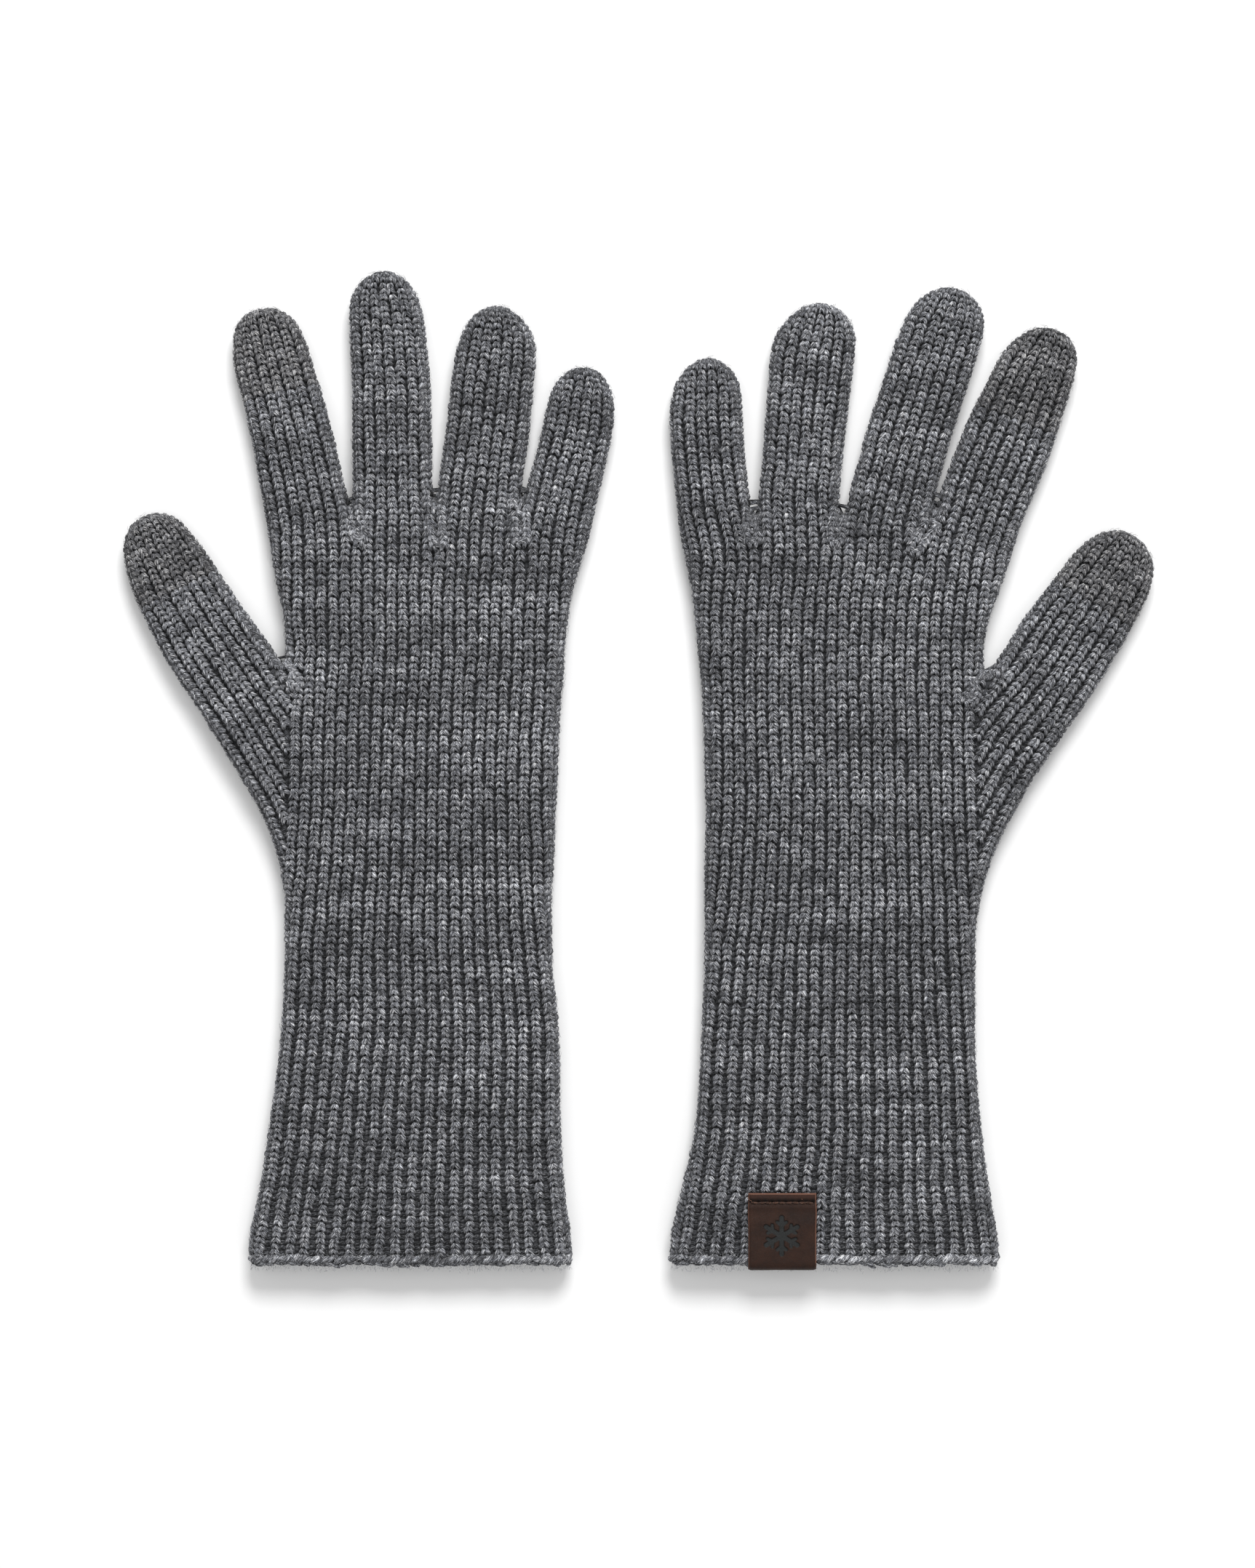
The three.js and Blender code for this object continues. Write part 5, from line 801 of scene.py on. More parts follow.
def hem_fuzz(glove, hem, xl, xr):
    """loose fibres on the cast-on edge"""
    n = 1500
    x = rng.uniform(xl - 0.5, xr + 0.5, n)
    y = HEM_Y + rng.uniform(-0.2, 3.4, n)
    P, N, _ = glove.surface(np.c_[x, y], "palm", False)
    down = np.clip((HEM_Y + 1.8 - y) / 2.2, -0.5, 1)[:, None]
    T = np.c_[rng.normal(0, 0.8, n), -np.abs(rng.normal(0.2, 0.5, n)) * np.sign(down[:, 0] + 0.2), np.zeros(n)]
    long = rng.uniform(0.35, 0.85, n)[:, None]
    low = np.array([[0.0, -0.9, -0.15]]) * np.clip(down, 0, 1)
    root = P + N * 0.55 + low
    mid = root + N * long * rng.uniform(0.15, 0.5, (n, 1)) + T * long * 0.5 + low * 0.5
    end = mid + N * long * rng.uniform(-0.1, 0.3, (n, 1)) + T * long * rng.uniform(0.3, 0.8, (n, 1)) + low * 0.4
    C = np.stack([root, mid, end], 1)
    side = np.cross(N, T)
    side /= np.linalg.norm(side, axis=1)[:, None] + 1e-9
    rad = np.repeat(np.array([[[0.05, 0.05], [0.045, 0.045], [0.025, 0.025]]]), n, 0)
    hem.add(C, np.repeat(side[:, None, :], 3, 1), rad, 3, np.full(n, 1.5), rng.uniform(0, 400, n), False)


def chain(glove, piece, key, under, path, out_dir, length, tilt, lift, radius, sides, tone_k=1.0, rows=5):
    """plump loops set end to end along a path in the cloth's plane"""
    n = len(path)
    A = np.gradient(path, axis=0)
    A /= np.linalg.norm(A, axis=1)[:, None]
    S = np.c_[A[:, 1], -A[:, 0]] * out_dir
    u = np.linspace(-0.5, 0.5, rows)
    bulge = 1 - (2 * u) ** 2
    path = path + S * rng.normal(0, 0.24, (n, 1)) + A * rng.normal(0, 0.25, (n, 1))
    long_n = length * (1 + rng.normal(0, 0.13, (n, 1, 1)))
    tilt_n = tilt + rng.normal(0, 0.55, (n, 1, 1))
    ring = path[:, None, :] + A[:, None, :] * (u[None, :, None] * long_n) + S[:, None, :] * (u[None, :, None] * tilt_n)
    P, N, _ = glove.surface(ring.reshape(-1, 2), key, under)
    P, N = P.reshape(n, -1, 3), N.reshape(n, -1, 3)
    C = P + N * ((lift * (0.15 + 0.85 * bulge) - 0.5 * (1 - bulge))[None, :] + rng.normal(0, 0.12, (n, 1)))[..., None]
    rad = np.stack([np.repeat((radius[0] * (0.42 + 0.58 * bulge))[None], n, 0), np.repeat((radius[1] * (0.42 + 0.58 * bulge))[None], n, 0)], axis=-1)
    rad = rad * (1 + rng.normal(0, 0.11, (n, 1, 1)))
    tone = tone_of(path, np.zeros(n), under) * tone_k * (1 + rng.normal(0, 0.13, n))
    piece.add(C, N, rad, sides, tone, rng.uniform(0, 400, n), under)


# ------------------------------------------------------------------ materials
def new_material(name):
    mat = bpy.data.materials.new(name)
    mat.use_nodes = True
    nt = mat.node_tree
    for n in list(nt.nodes):
        nt.nodes.remove(n)
    out = nt.nodes.new("ShaderNodeOutputMaterial")
    bsdf = nt.nodes.new("ShaderNodeBsdfPrincipled")
    nt.links.new(bsdf.outputs[0], out.inputs[0])
    return mat, nt, bsdf


class Nodes:
    def __init__(self, nt):
        self.nt = nt

    def link(self, a, b):
        self.nt.links.new(a, b)

    def math(self, op, a, b=None, clamp=False):
        n = self.nt.nodes.new("ShaderNodeMath")
        n.operation = op
        n.use_clamp = clamp
        for k, v in enumerate((a, b)):
            if v is None:
                continue
            if isinstance(v, (int, float)):
                n.inputs[k].default_value = v
            else:
                self.link(v, n.inputs[k])
        return n.outputs[0]

    def mapping(self, vec, scale=(1, 1, 1), loc=(0, 0, 0)):
        n = self.nt.nodes.new("ShaderNodeMapping")
        n.inputs["Scale"].default_value = scale
        n.inputs["Location"].default_value = loc
        self.link(vec, n.inputs["Vector"])
        return n.outputs[0]

    def noise(self, vec, scale, detail=2, rough=0.5):
        n = self.nt.nodes.new("ShaderNodeTexNoise")
        n.inputs["Scale"].default_value = scale
        n.inputs["Detail"].default_value = detail
        n.inputs["Roughness"].default_value = rough
        self.link(vec, n.inputs["Vector"])
        return n.outputs["Fac"]

    def ramp(self, fac, stops):
        n = self.nt.nodes.new("ShaderNodeValToRGB")
        el = n.color_ramp.elements
        while len(el) < len(stops):
            el.new(0.5)
        for e, (p, c) in zip(el, stops):
            e.position = p
            e.color = (*c, 1) if len(c) == 3 else c
        self.link(fac, n.inputs[0])
        return n.outputs[0]

    def mix(self, fac, a, b, mode="MIX"):
        n = self.nt.nodes.new("ShaderNodeMix")
        n.data_type = "RGBA"
        n.blend_type = mode
        for k, v in ((0, fac), (6, a), (7, b)):
            if isinstance(v, (int, float)):
                n.inputs[k].default_value = v
            elif isinstance(v, tuple):
                n.inputs[k].default_value = (*v, 1)
            else:
                self.link(v, n.inputs[k])
        return n.outputs[2]

    def attr(self, name, out="Fac"):
        n = self.nt.nodes.new("ShaderNodeAttribute")
        n.attribute_name = name
        return n.outputs[out]

    def bump(self, h, strength, dist, normal=None):
        n = self.nt.nodes.new("ShaderNodeBump")
        n.inputs["Strength"].default_value = strength
        n.inputs["Distance"].default_value = dist
        self.link(h, n.inputs["Height"])
        if normal is not None:
            self.link(normal, n.inputs["Normal"])
        return n.outputs[0]


def srgb(r, g, b):
    return tuple(((v / 255 + 0.055) / 1.055) ** 2.4 if v > 10 else v / 255 / 12.92 for v in (r, g, b))


GAIN = 2.6


def yarn_material(name, dark, mid, light, fleck, fine=1.0, warm=(0, 0, 0)):
    mat, nt, bsdf = new_material(name)
    N = Nodes(nt)
    yarn = N.attr("yarn", "Vector")
    # tone carries the yarn's random melange together with painted shade and highlight: darker leg ends, valleys,
    # creases and deeper ribs
    tone = N.attr("tone", "Fac")
    # two plies wound round each other, and the fibres that lie along them
    sep = nt.nodes.new("ShaderNodeSeparateXYZ")
    N.link(yarn, sep.inputs[0])
    wob = N.noise(N.mapping(yarn, (0.7, 0.7, 1)), 1.3, 2)
    ph = N.math("ADD", N.math("MULTIPLY", sep.outputs[1], 2 * math.pi / (0.62 * fine)), N.math("MULTIPLY", wob, 11.0))
    ply = N.math("MULTIPLY_ADD", N.math("SINE", ph), 0.5)
    nt.nodes[-1].inputs[2].default_value = 0.5
    fibre = N.noise(N.mapping(yarn, (0.66, 1.45, 1.0)), 1.6 / fine, 2, 0.55)
    hair = N.noise(N.mapping(yarn, (0.75, 2.7, 1.0), (3, 7, 1)), 2.1 / fine, 3, 0.6)
    blot = N.noise(N.mapping(yarn, (0.7, 0.9, 1.0), (9, 2, 4)), 0.8, 2, 0.5)
    # melange: dark and light fibres spun together
    f = N.math("ADD", N.math("MULTIPLY", fibre, 0.62), N.math("MULTIPLY", hair, 0.38))
    f = N.math("MULTIPLY_ADD", N.math("SUBTRACT", f, 0.5), GAIN)
    nt.nodes[-1].inputs[2].default_value = 0.5
    f = N.math("ADD", f, N.math("MULTIPLY", N.math("SUBTRACT", blot, 0.5), 0.30))
    f = N.math("ADD", f, N.math("MULTIPLY", N.math("SUBTRACT", ply, 0.5), 0.26))
    f = N.math("ADD", f, N.math("MULTIPLY", N.math("SUBTRACT", tone, 1.0), 0.42))
    col = N.ramp(f, [(0.14, dark), (0.48, mid), (0.74, light), (1.0, fleck)])
    tint = N.noise(N.mapping(yarn, (0.5, 1.1, 1.0), (31, 5, 8)), 1.1, 2)
    tinted = N.ramp(tint, [(0.30, (0.98 + warm[0], 0.998, 1.03 + warm[2])), (0.52, (1.0 + warm[0], 1.0, 1.0 + warm[2])), (0.74, (1.02 + warm[0], 1.0, 0.975 + warm[2]))])
    col = N.mix(1.0, col, tinted, "MULTIPLY")
    gain = nt.nodes.new("ShaderNodeVectorMath")
    gain.operation = "SCALE"
    N.link(col, gain.inputs[0])
    N.link(N.math("POWER", tone, 1.2), gain.inputs["Scale"])
    N.link(gain.outputs[0], bsdf.inputs["Base Color"])
    h = N.math("ADD", N.math("MULTIPLY", ply, 0.6), N.math("MULTIPLY", fibre, 1.1))
    N.link(N.bump(h, 0.9, 0.00024), bsdf.inputs["Normal"])
    N.link(N.math("MULTIPLY_ADD", fibre, -0.12), bsdf.inputs["Roughness"])
    nt.nodes[-1].inputs[2].default_value = 0.98
    bsdf.inputs["Specular IOR Level"].default_value = 0.22
    bsdf.inputs["Sheen Weight"].default_value = 0.10
    bsdf.inputs["Sheen Roughness"].default_value = 0.6
    return mat


def sheet_material(name, a, b):
    """the backs of the loops, seen only between the ribs and inside the cuff, coloured darker than the yarn as painted
    shade
    """
    mat, nt, bsdf = new_material(name)
    N = Nodes(nt)
    tc = nt.nodes.new("ShaderNodeTexCoord")
    pos = N.mapping(tc.outputs["Object"], (270, 530, 270))
    n1 = N.noise(pos, 1.3, 3, 0.6)
    n2 = N.noise(N.mapping(tc.outputs["Object"], (40, 300, 60)), 1.0, 2)
    f = N.math("ADD", N.math("MULTIPLY", n1, 0.65), N.math("MULTIPLY", n2, 0.35))
    N.link(N.ramp(f, [(0.3, a), (0.7, b)]), bsdf.inputs["Base Color"])
    N.link(N.bump(n1, 0.8, 0.0006), bsdf.inputs["Normal"])
    N.link(N.math("MULTIPLY_ADD", n1, -0.1), bsdf.inputs["Roughness"])
    nt.nodes[-1].inputs[2].default_value = 1.0
    bsdf.inputs["Specular IOR Level"].default_value = 0.15
    return mat


KNIT = yarn_material("knit_yarn", srgb(27, 28, 31), srgb(82, 83, 87), srgb(133, 134, 138), srgb(198, 199, 201))
TOUCH = yarn_material("touch_yarn", srgb(26, 27, 29), srgb(79, 79, 82), srgb(128, 128, 130), srgb(190, 190, 189), 0.95, (0.006, 0, -0.006))
# painted shade: the backing's colours are much darker than the yarn's
SHEET = sheet_material("knit_backing", srgb(36, 37, 39), srgb(66, 67, 70))

# ------------------------------------------------------------------ the gloves
gloves = []
for cfg in (RIGHT, LEFT):
    digs = [Digit(n, *args) for n, args in cfg["digits"].items()]
    gloves.append(Glove(cfg["name"], cfg["B"], cfg["trunk"], cfg["left_line"], cfg["right_line"], digs, cfg["first"], cfg["thumb_edge"], cfg["keep"], cfg["hooks"], cfg.get("label")))

REGION_NODE = {"cuff": "cuff", "hand": "hand"}


def place(ob, side, region, glove):
    """the body or joint that each piece follows"""
    if region in ("cuff", "hem"):
        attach(ob, f"{side}_cuff")
    elif region == "hand":
        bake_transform(ob)
    else:
        name = region.replace("_tip", "_finger") if region.endswith("_tip") and not region.startswith("thumb") else region.replace("_tip", "")
        d = glove.digits[name]
        p0, p1 = d.at(d.root + 0.5, 0)[0] / 1000, d.at(d.root + 14.5, 0)[0] / 1000
        if region.endswith("_tip"):
            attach(ob, f"{side}_{name}")
        else:
            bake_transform(ob)


def node_of(side, region):
    if region.endswith("_tip"):
        return f"{side}_{region.replace('_tip', '')}_touch_tip"
    return f"{side}_{region}"


def base_sheet(glove):
    """the cloth behind the stitches: a double-walled sheet, open at the hem, cut into one piece per region"""
    side = glove.name
    y0 = HEM_Y + 1.0
    B, BN = glove.B, glove.BN
    up = B[:, 1] > y0
    start = np.nonzero(up & ~np.roll(up, 1))[0][0]
    idx = (start + np.arange(len(B))) % len(B)
    idx = idx[up[idx]][::3]
    ring = B[idx]
    nrm = BN[idx]
    # interior points
    gx = np.arange(ring[:, 0].min(), ring[:, 0].max(), 3.4)
    gy = np.arange(y0 + 2.5, ring[:, 1].max(), 3.0)
    G = np.stack(np.meshgrid(gx, gy), -1).reshape(-1, 2)
    G[:, 0] += (np.round(G[:, 1] / 3.0) % 2) * 1.7
    hem = np.c_[np.linspace(ring[-1, 0], ring[0, 0], 32)[1:-1], np.full(30, y0)]
    loop = np.r_[ring, hem]
    # keep interior points away from the outline
    poly = loop
    x, y = G[:, 0], G[:, 1]
    inside = np.zeros(len(G), bool)
    j = np.roll(poly, 1, axis=0)
    for (xi, yi), (xj, yj) in zip(poly, j):
        cross = (yi > y) != (yj > y)
        with np.errstate(divide="ignore", invalid="ignore"):
            xs = (xj - xi) * (y - yi) / (yj - yi) + xi
        inside ^= cross & (x < xs)
    far = np.array([np.min(np.hypot(poly[:, 0] - a, poly[:, 1] - b)) for a, b in G]) > 1.4
    G = G[inside & far]
    pts = [Vector(p) for p in np.r_[loop, G]]
    nl = len(loop)
    res = delaunay_2d_cdt(pts, [], [list(range(nl))], 1, 1e-5)
    P2 = np.array([tuple(v) for v in res[0]])
    faces = [tuple(f) for f in res[2]]
    orig = res[3]
    where = {}
    for new, olds in enumerate(orig):
        for o in olds:
            where[o] = new
    nr = len(ring)
    steps = 9
    h_in = glove.height(P2)

    def layer(depth):
        verts = []
        top = glove.surface(P2, "all", False, depth)[0]
        bot = glove.surface(P2, "all", True, depth)[0]
        verts.append(top)
        verts.append(bot)
        h = glove.height(ring)
        topr = top[[where[i] for i in range(nr)]]
        for k in range(1, steps):
            a = math.pi * k / steps
            rm = RM - depth
            hm = h / 2 - YARN - depth
            if k <= steps / 2:
                hm = hm * (1 - abs(math.cos(a))) + (topr[:, 2] - h / 2) * abs(math.cos(a))
            verts.append(np.c_[ring + nrm * rm * math.sin(a), h / 2 + hm * math.cos(a)])
        return np.concatenate(verts)

    outer, inner = layer(0.85), layer(1.95)
    nv = len(P2)
    F = [f for f in faces]
    area = sum((P2[b][0] - P2[a][0]) * (P2[c][1] - P2[a][1]) - (P2[b][1] - P2[a][1]) * (P2[c][0] - P2[a][0]) for a, b, c in faces[:50])
    if area < 0:
        F = [tuple(reversed(f)) for f in F]
    allf = list(F) + [tuple(nv + v for v in reversed(f)) for f in F]

    def rv(k, i):
        if k == 0:
            return where[i]
        if k == steps:
            return nv + where[i]
        return 2 * nv + (k - 1) * nr + i

    for i in range(nr - 1):
        for k in range(steps):
            allf.append((rv(k, i), rv(k + 1, i), rv(k + 1, i + 1), rv(k, i + 1)))
    # outward check on one side face
    f = allf[2 * len(F) + (nr // 2) * steps + steps // 2]
    c = [outer[v] for v in f]
    nn = np.cross(c[1] - c[0], c[2] - c[1])
    if np.dot(nn[:2], nrm[nr // 2]) < 0:
        allf = allf[: 2 * len(F)] + [tuple(reversed(f)) for f in allf[2 * len(F):]]
    # region of each face
    cen = np.array([outer[list(f)].mean(0)[:2] for f in allf])
    reg = np.array(["hand"] * len(allf), dtype=object)
    best = np.full(len(allf), 1.35)
    for d in glove.digits.values():
        s, q = d.reach(cen)
        m = (s > d.root + 0.5) & (q < best)
        if d.name == "thumb":
            m &= q < 1.12
        reg[m] = d.name
        best[m] = q[m]
    reg[cen[:, 1] < CUFF_END] = "cuff"
    out = {}
    nv_all = len(outer)
    for r in sorted(set(reg)):
        sel = [allf[i] for i in np.nonzero(reg == r)[0]]
        edges = {}
        for f in sel:
            for a, b in zip(f, f[1:] + f[:1]):
                edges[(a, b)] = True
        border = [(a, b) for a, b in edges if (b, a) not in edges]
        polys = list(sel) + [tuple(nv_all + v for v in reversed(f)) for f in sel]
        polys += [(b, a, nv_all + a, nv_all + b) for a, b in border]
        used = sorted({v for f in polys for v in f})
        remap = {v: i for i, v in enumerate(used)}
        co = np.concatenate([outer, inner])[used] * 0.001
        me = bpy.data.meshes.new(f"{side}_{r}_backing")
        me.from_pydata([tuple(p) for p in co], [], [tuple(remap[v] for v in f) for f in polys])
        me.update()
        me.polygons.foreach_set("use_smooth", np.ones(len(me.polygons), bool))
        ob = bpy.data.objects.new(f"{side}_{r}_backing", me)
        bpy.context.scene.collection.objects.link(ob)
        me.materials.append(SHEET)
        place(ob, side, r, glove)
        out[r] = ob
    return out


for glove in gloves:
    side = glove.name
    store = {}

    def piece(region, under, i, purl=False):
        if region in ("cuff", "hand"):
            name = f"{side}_{region}_knit_{'under' if under else 'upper'}"
            if region == "hand":
                name += "_a" if i < 13 or i in (60, 61, 62, 63, 64, 65, 66, 67, 68, 59) and glove.mir > 0 or i == 58 else "_b"
        else:
            name = f"{side}_{region}_knit"
        if purl and not under:
            name = f"{side}_{region}_{'edge' if purl == 'edge' else 'purl'}"
        if name not in store:
            store[name] = (Piece(name), region)
        return store[name][0]

    stitches(glove, piece, False)
    stitches(glove, piece, True)
    edge_wales(glove, piece)
    fuzz(glove, piece)
    for name, (p, region) in store.items():
        tip = region.endswith("_tip")
        ob = p.build(TOUCH if tip else KNIT, "touch_yarn" if tip else "knit_yarn")
        if not any(word in name for word in ("under", "purl", "edge")):
            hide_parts(node_of(side, region))
        place(ob, side, region, glove)

    # the cast-on edge: a cord of plump loops right round the opening
    hem = Piece(f"{side}_hem_cast_on")
    xl, xr = glove.line(0, HEM_Y), glove.line(1, HEM_Y)
    yb = HEM_Y + 1.45
    a, b = xl - (EQ - SIDE) - 0.6, xr + (EQ - SIDE) + 0.6
    for under in (False, True):
        x = np.arange(a + 0.8, b - 0.6, 2.25)
        path = np.c_[x, yb + 0.55 + 0.30 * noise(x / 9, x * 0, 31)]
        # painted light: the upper row of loops is coloured lighter (1.18) and the lower row darker (0.98), for the lit
        # top and shaded foot of the roll
        chain(glove, hem, "palm", under, path, 1, 3.0, -1.9, 0.15 if under else 0.70, (0.98, 0.80 if under else 0.92), 7, 1.18)
        x = np.arange(a + 0.8, b - 0.6, 2.25) + 1.1
        path = np.c_[x, HEM_Y + 0.75 + 0.28 * noise(x / 9, x * 0, 31)]
        chain(glove, hem, "palm", under, path, 1, 3.2, 1.0, 0.05, (0.88, 0.74), 6, 0.98)
    hem_fuzz(glove, hem, xl, xr)
    ob = hem.build(KNIT, "knit_yarn")
    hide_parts(f"{side}_hem_band")
    place(ob, side, "hem", glove)

    # at each crotch two ribs join in a raised loop over the palm
    for name, (kind, a, b, cx, yb) in glove.hooks.items():
        hook = Piece(f"{side}_{name}_crotch_hook")
        line = glove.hook_lines[name]
        mid_i = int(np.argmin(line[:, 1]))
        halves = [line[: mid_i + 1][::-1], line[mid_i:]]
        for path in halves:
            path = resample(path, step=0.2)
            path = resample(path[2:], step=1.62)
            n = len(path)
            A = np.gradient(path, axis=0)
            A /= np.linalg.norm(A, axis=1)[:, None]
            S = np.c_[A[:, 1], -A[:, 0]]
            low = np.clip(1 - np.arange(n) * 1.62 / 6.5, 0, 1)
            key = "palm" if kind == "palm" else kind
            for sgn in (-1, 1):
                ring = path[:, None, :] + S[:, None, :] * (sgn * LEG_TOP[None, :, 0:1] * 0.92) + A[:, None, :] * (LEG_TOP[None, :, 1:2] * 0.92)
                P, N, _ = glove.surface(ring.reshape(-1, 2), key, False)
                P, N = P.reshape(n, -1, 3), N.reshape(n, -1, 3)
                C = P + N * (LEG_TOP[None, :, 2] + 0.05 + 0.80 * low[:, None])[..., None]
                rad = np.repeat(LEG_TOP[None, :, 3:5], n, 0) * 0.98
                hook.add(C, N, rad, 6, tone_of(path, np.arange(n) * 1.0, False) * 1.05 * (1 + rng.normal(0, 0.05, n)), rng.uniform(0, 400, n), False, LEG_SHADE)
        ob = hook.build(KNIT, "knit_yarn")
        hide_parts(f"{side}_{name}_crotch_stitches")
        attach(ob, f"{side}_hand")
    base_sheet(glove)

# ------------------------------------------------------------------ label
def label():
    """a leather strip folded over the hem: a fine grid bent along a U, pressed in by its mark, its
    stitches and its creases"""
    x0, x1 = 34.4 + SHIFT[0] + 0.12, 56.2 + SHIFT[0] - 0.12
    top_y, sew_y, in_y = HEM_Y + 23.0, HEM_Y + 20.0, HEM_Y + 17.0
    thick = 1.15
    z_top, z_in = 12.05, 7.95  # middle of each leaf
    front = HEM_Y - 0.85
    rad = (z_top - z_in) / 2
    # middle line of the strip, from the outer leaf's end, round the hem, to the inner leaf's end
    outer = [(y, z_top + 0.10 * math.sin((y - front) * 0.28)) for y in np.arange(top_y, front + rad + 0.01, -0.18)]
    outer = [(y, z - 0.35 * smooth((top_y - y) / 1e9) - (0.35 if y > sew_y - 2 else 0.35 * float(smooth((y - (sew_y - 7)) / 5)))) for y, z in outer]
    bend = []
    for a in np.linspace(0, math.pi, 34)[1:-1]:
        # squarer than a circle, as leather bends
        s, c = math.sin(a), math.cos(a)
        bend.append((front + rad - rad * abs(s) ** 0.8, (z_top + z_in) / 2 + rad * math.copysign(abs(c) ** 0.8, c)))
    inner = [(y, z_in) for y in np.arange(front + rad, in_y, 0.6)]
    path = np.array(outer + bend + inner)
    t = np.gradient(path, axis=0)
    t /= np.linalg.norm(t, axis=1)[:, None]
    nrm = np.c_[-t[:, 1], t[:, 0]] * -1.0  # outward: up on the outer leaf
    if nrm[3, 1] < 0:
        nrm = -nrm
    nx = 130
    xs = np.linspace(x0, x1, nx)
    m = len(path)
    X, I = np.meshgrid(xs, np.arange(m))
    Y0, Z0 = path[I, 0], path[I, 1]
    NY, NZ = nrm[I, 0], nrm[I, 1]
    n_out = len(outer)
    on_top = I < n_out
    # the sides are cut a little unevenly and curl down at the edges
    wav = 0.10 * noise(Y0 / 5.0, Y0 * 0 + 3, 61) * ((X - (x0 + x1) / 2) / (x1 - x0) * 2)
    d = np.zeros_like(X)
    edge = np.minimum(X - x0, x1 - X)
    d -= 0.30 * (1 - smooth(edge / 0.9))
    d += 0.055 * noise(X / 3.2, Y0 / 4.5, 62) + 0.03 * noise(X / 0.9, Y0 / 1.1, 63)
    # folds across the strip and a dent along the sewing line
    d -= np.where(on_top, 0.34 * np.exp(-(((Y0 - sew_y) / 0.62) ** 2)), 0)
    d += np.where(on_top, 0.16 * np.exp(-(((Y0 - sew_y - 1.5) / 0.7) ** 2)), 0)
    d += np.where(on_top, 0.10 * np.exp(-(((Y0 - sew_y + 1.6) / 0.9) ** 2)), 0)
    holes = (xs.max() - xs.min() - 2.2) / 9
    for k in range(10):
        hx = x0 + 1.1 + k * holes
        d -= np.where(on_top, 0.35 * np.exp(-(((X - hx) / 0.28) ** 2) - ((Y0 - sew_y) / 0.4) ** 2), 0)
    # the generic mark: a pressed snowflake of three crossing bars with small ticks
    mx, my = (x0 + x1) / 2 - 0.2, HEM_Y + 9.6
    mark = np.zeros_like(X)

    def bar(ax, ay, bx, by, wide):
        ux, uy = bx - ax, by - ay
        t = np.clip(((X - ax) * ux + (Y0 - ay) * uy) / (ux * ux + uy * uy), 0, 1)
        return smooth((wide - np.hypot(X - ax - t * ux, Y0 - ay - t * uy)) / 0.22 + 0.5)

    for a6 in range(6):
        ca, sa = math.cos(math.radians(60 * a6 + 30)), math.sin(math.radians(60 * a6 + 30))
        mark = np.maximum(mark, bar(mx, my, mx + 5.7 * ca, my + 5.7 * sa, 0.78))
        for turn in (-1, 1):
            cb, sb = math.cos(math.radians(60 * a6 + 30 + 52 * turn)), math.sin(math.radians(60 * a6 + 30 + 52 * turn))
            mark = np.maximum(mark, bar(mx + 3.2 * ca, my + 3.2 * sa, mx + 3.2 * ca + 1.8 * cb, my + 3.2 * sa + 1.8 * sb, 0.55))
    mark = np.where(on_top, mark, 0)
    d -= 0.42 * mark
    half = thick / 2
    out = np.stack([X + wav, Y0 + NY * (half + d), Z0 + NZ * (half + d)], -1)
    # the back of the strip
    back = np.stack([X + wav, Y0 - NY * half, Z0 - NZ * half], -1)
    verts = np.concatenate([out.reshape(-1, 3), back.reshape(-1, 3)])
    faces = []
    N0 = m * nx
    g = np.arange(N0).reshape(m, nx)
    A, B_, C_, D_ = g[:-1, :-1].ravel(), g[1:, :-1].ravel(), g[1:, 1:].ravel(), g[:-1, 1:].ravel()
    faces += list(zip(A, B_, C_, D_))
    faces += list(zip(D_ + N0, C_ + N0, B_ + N0, A + N0))
    border = list(g[0, :]) + list(g[1:, -1]) + list(g[-1, -2::-1]) + list(g[-2:0:-1, 0])
    for a, b in zip(border, border[1:] + border[:1]):
        faces.append((a, b, b + N0, a + N0))
    me = bpy.data.meshes.new("label_leather")
    me.from_pydata([tuple(v) for v in verts * 0.001], [], [tuple(int(q) for q in f) for f in faces])
    at = me.attributes.new("mark", "FLOAT", "POINT")
    at.data.foreach_set("value", np.r_[mark.ravel(), np.zeros(N0)].astype(np.float32))
    # lighter, redder strip above the sewing; the cut edges and the back lighter as raw leather, with a painted
    # highlight strongest on the top and right edges, which face the key light
    strip = np.where(on_top, smooth((Y0 - sew_y) / 0.5), 0)
    cut = np.where(on_top, np.maximum(smooth((Y0 - top_y + 0.55) / 0.4), 0.75 * smooth((0.5 - (x1 - X)) / 0.35) + 0.35 * smooth((0.4 - (X - x0)) / 0.3)), 0.3 * smooth((0.4 - edge) / 0.3))
    at = me.attributes.new("wear", "FLOAT", "POINT")
    at.data.foreach_set("value", np.r_[cut.ravel(), np.full(N0, 0.5)].astype(np.float32))
    at = me.attributes.new("strip", "FLOAT", "POINT")
    at.data.foreach_set("value", np.r_[strip.ravel(), np.zeros(N0)].astype(np.float32))
    # painted shade: a dark band along the sewing dent, darkest at the needle holes
    dash = 0.5 + 0.5 * np.cos(2 * math.pi * (X - x0 - 1.1) / holes)
    hole = np.where(on_top & (edge > 0.5), np.exp(-(((Y0 - sew_y - 0.75) / 0.70) ** 2)) * (0.70 + 0.30 * smooth((dash - 0.2) / 0.5)), 0)
    at = me.attributes.new("hole", "FLOAT", "POINT")
    at.data.foreach_set("value", np.r_[hole.ravel(), np.zeros(N0)].astype(np.float32))
    me.update()
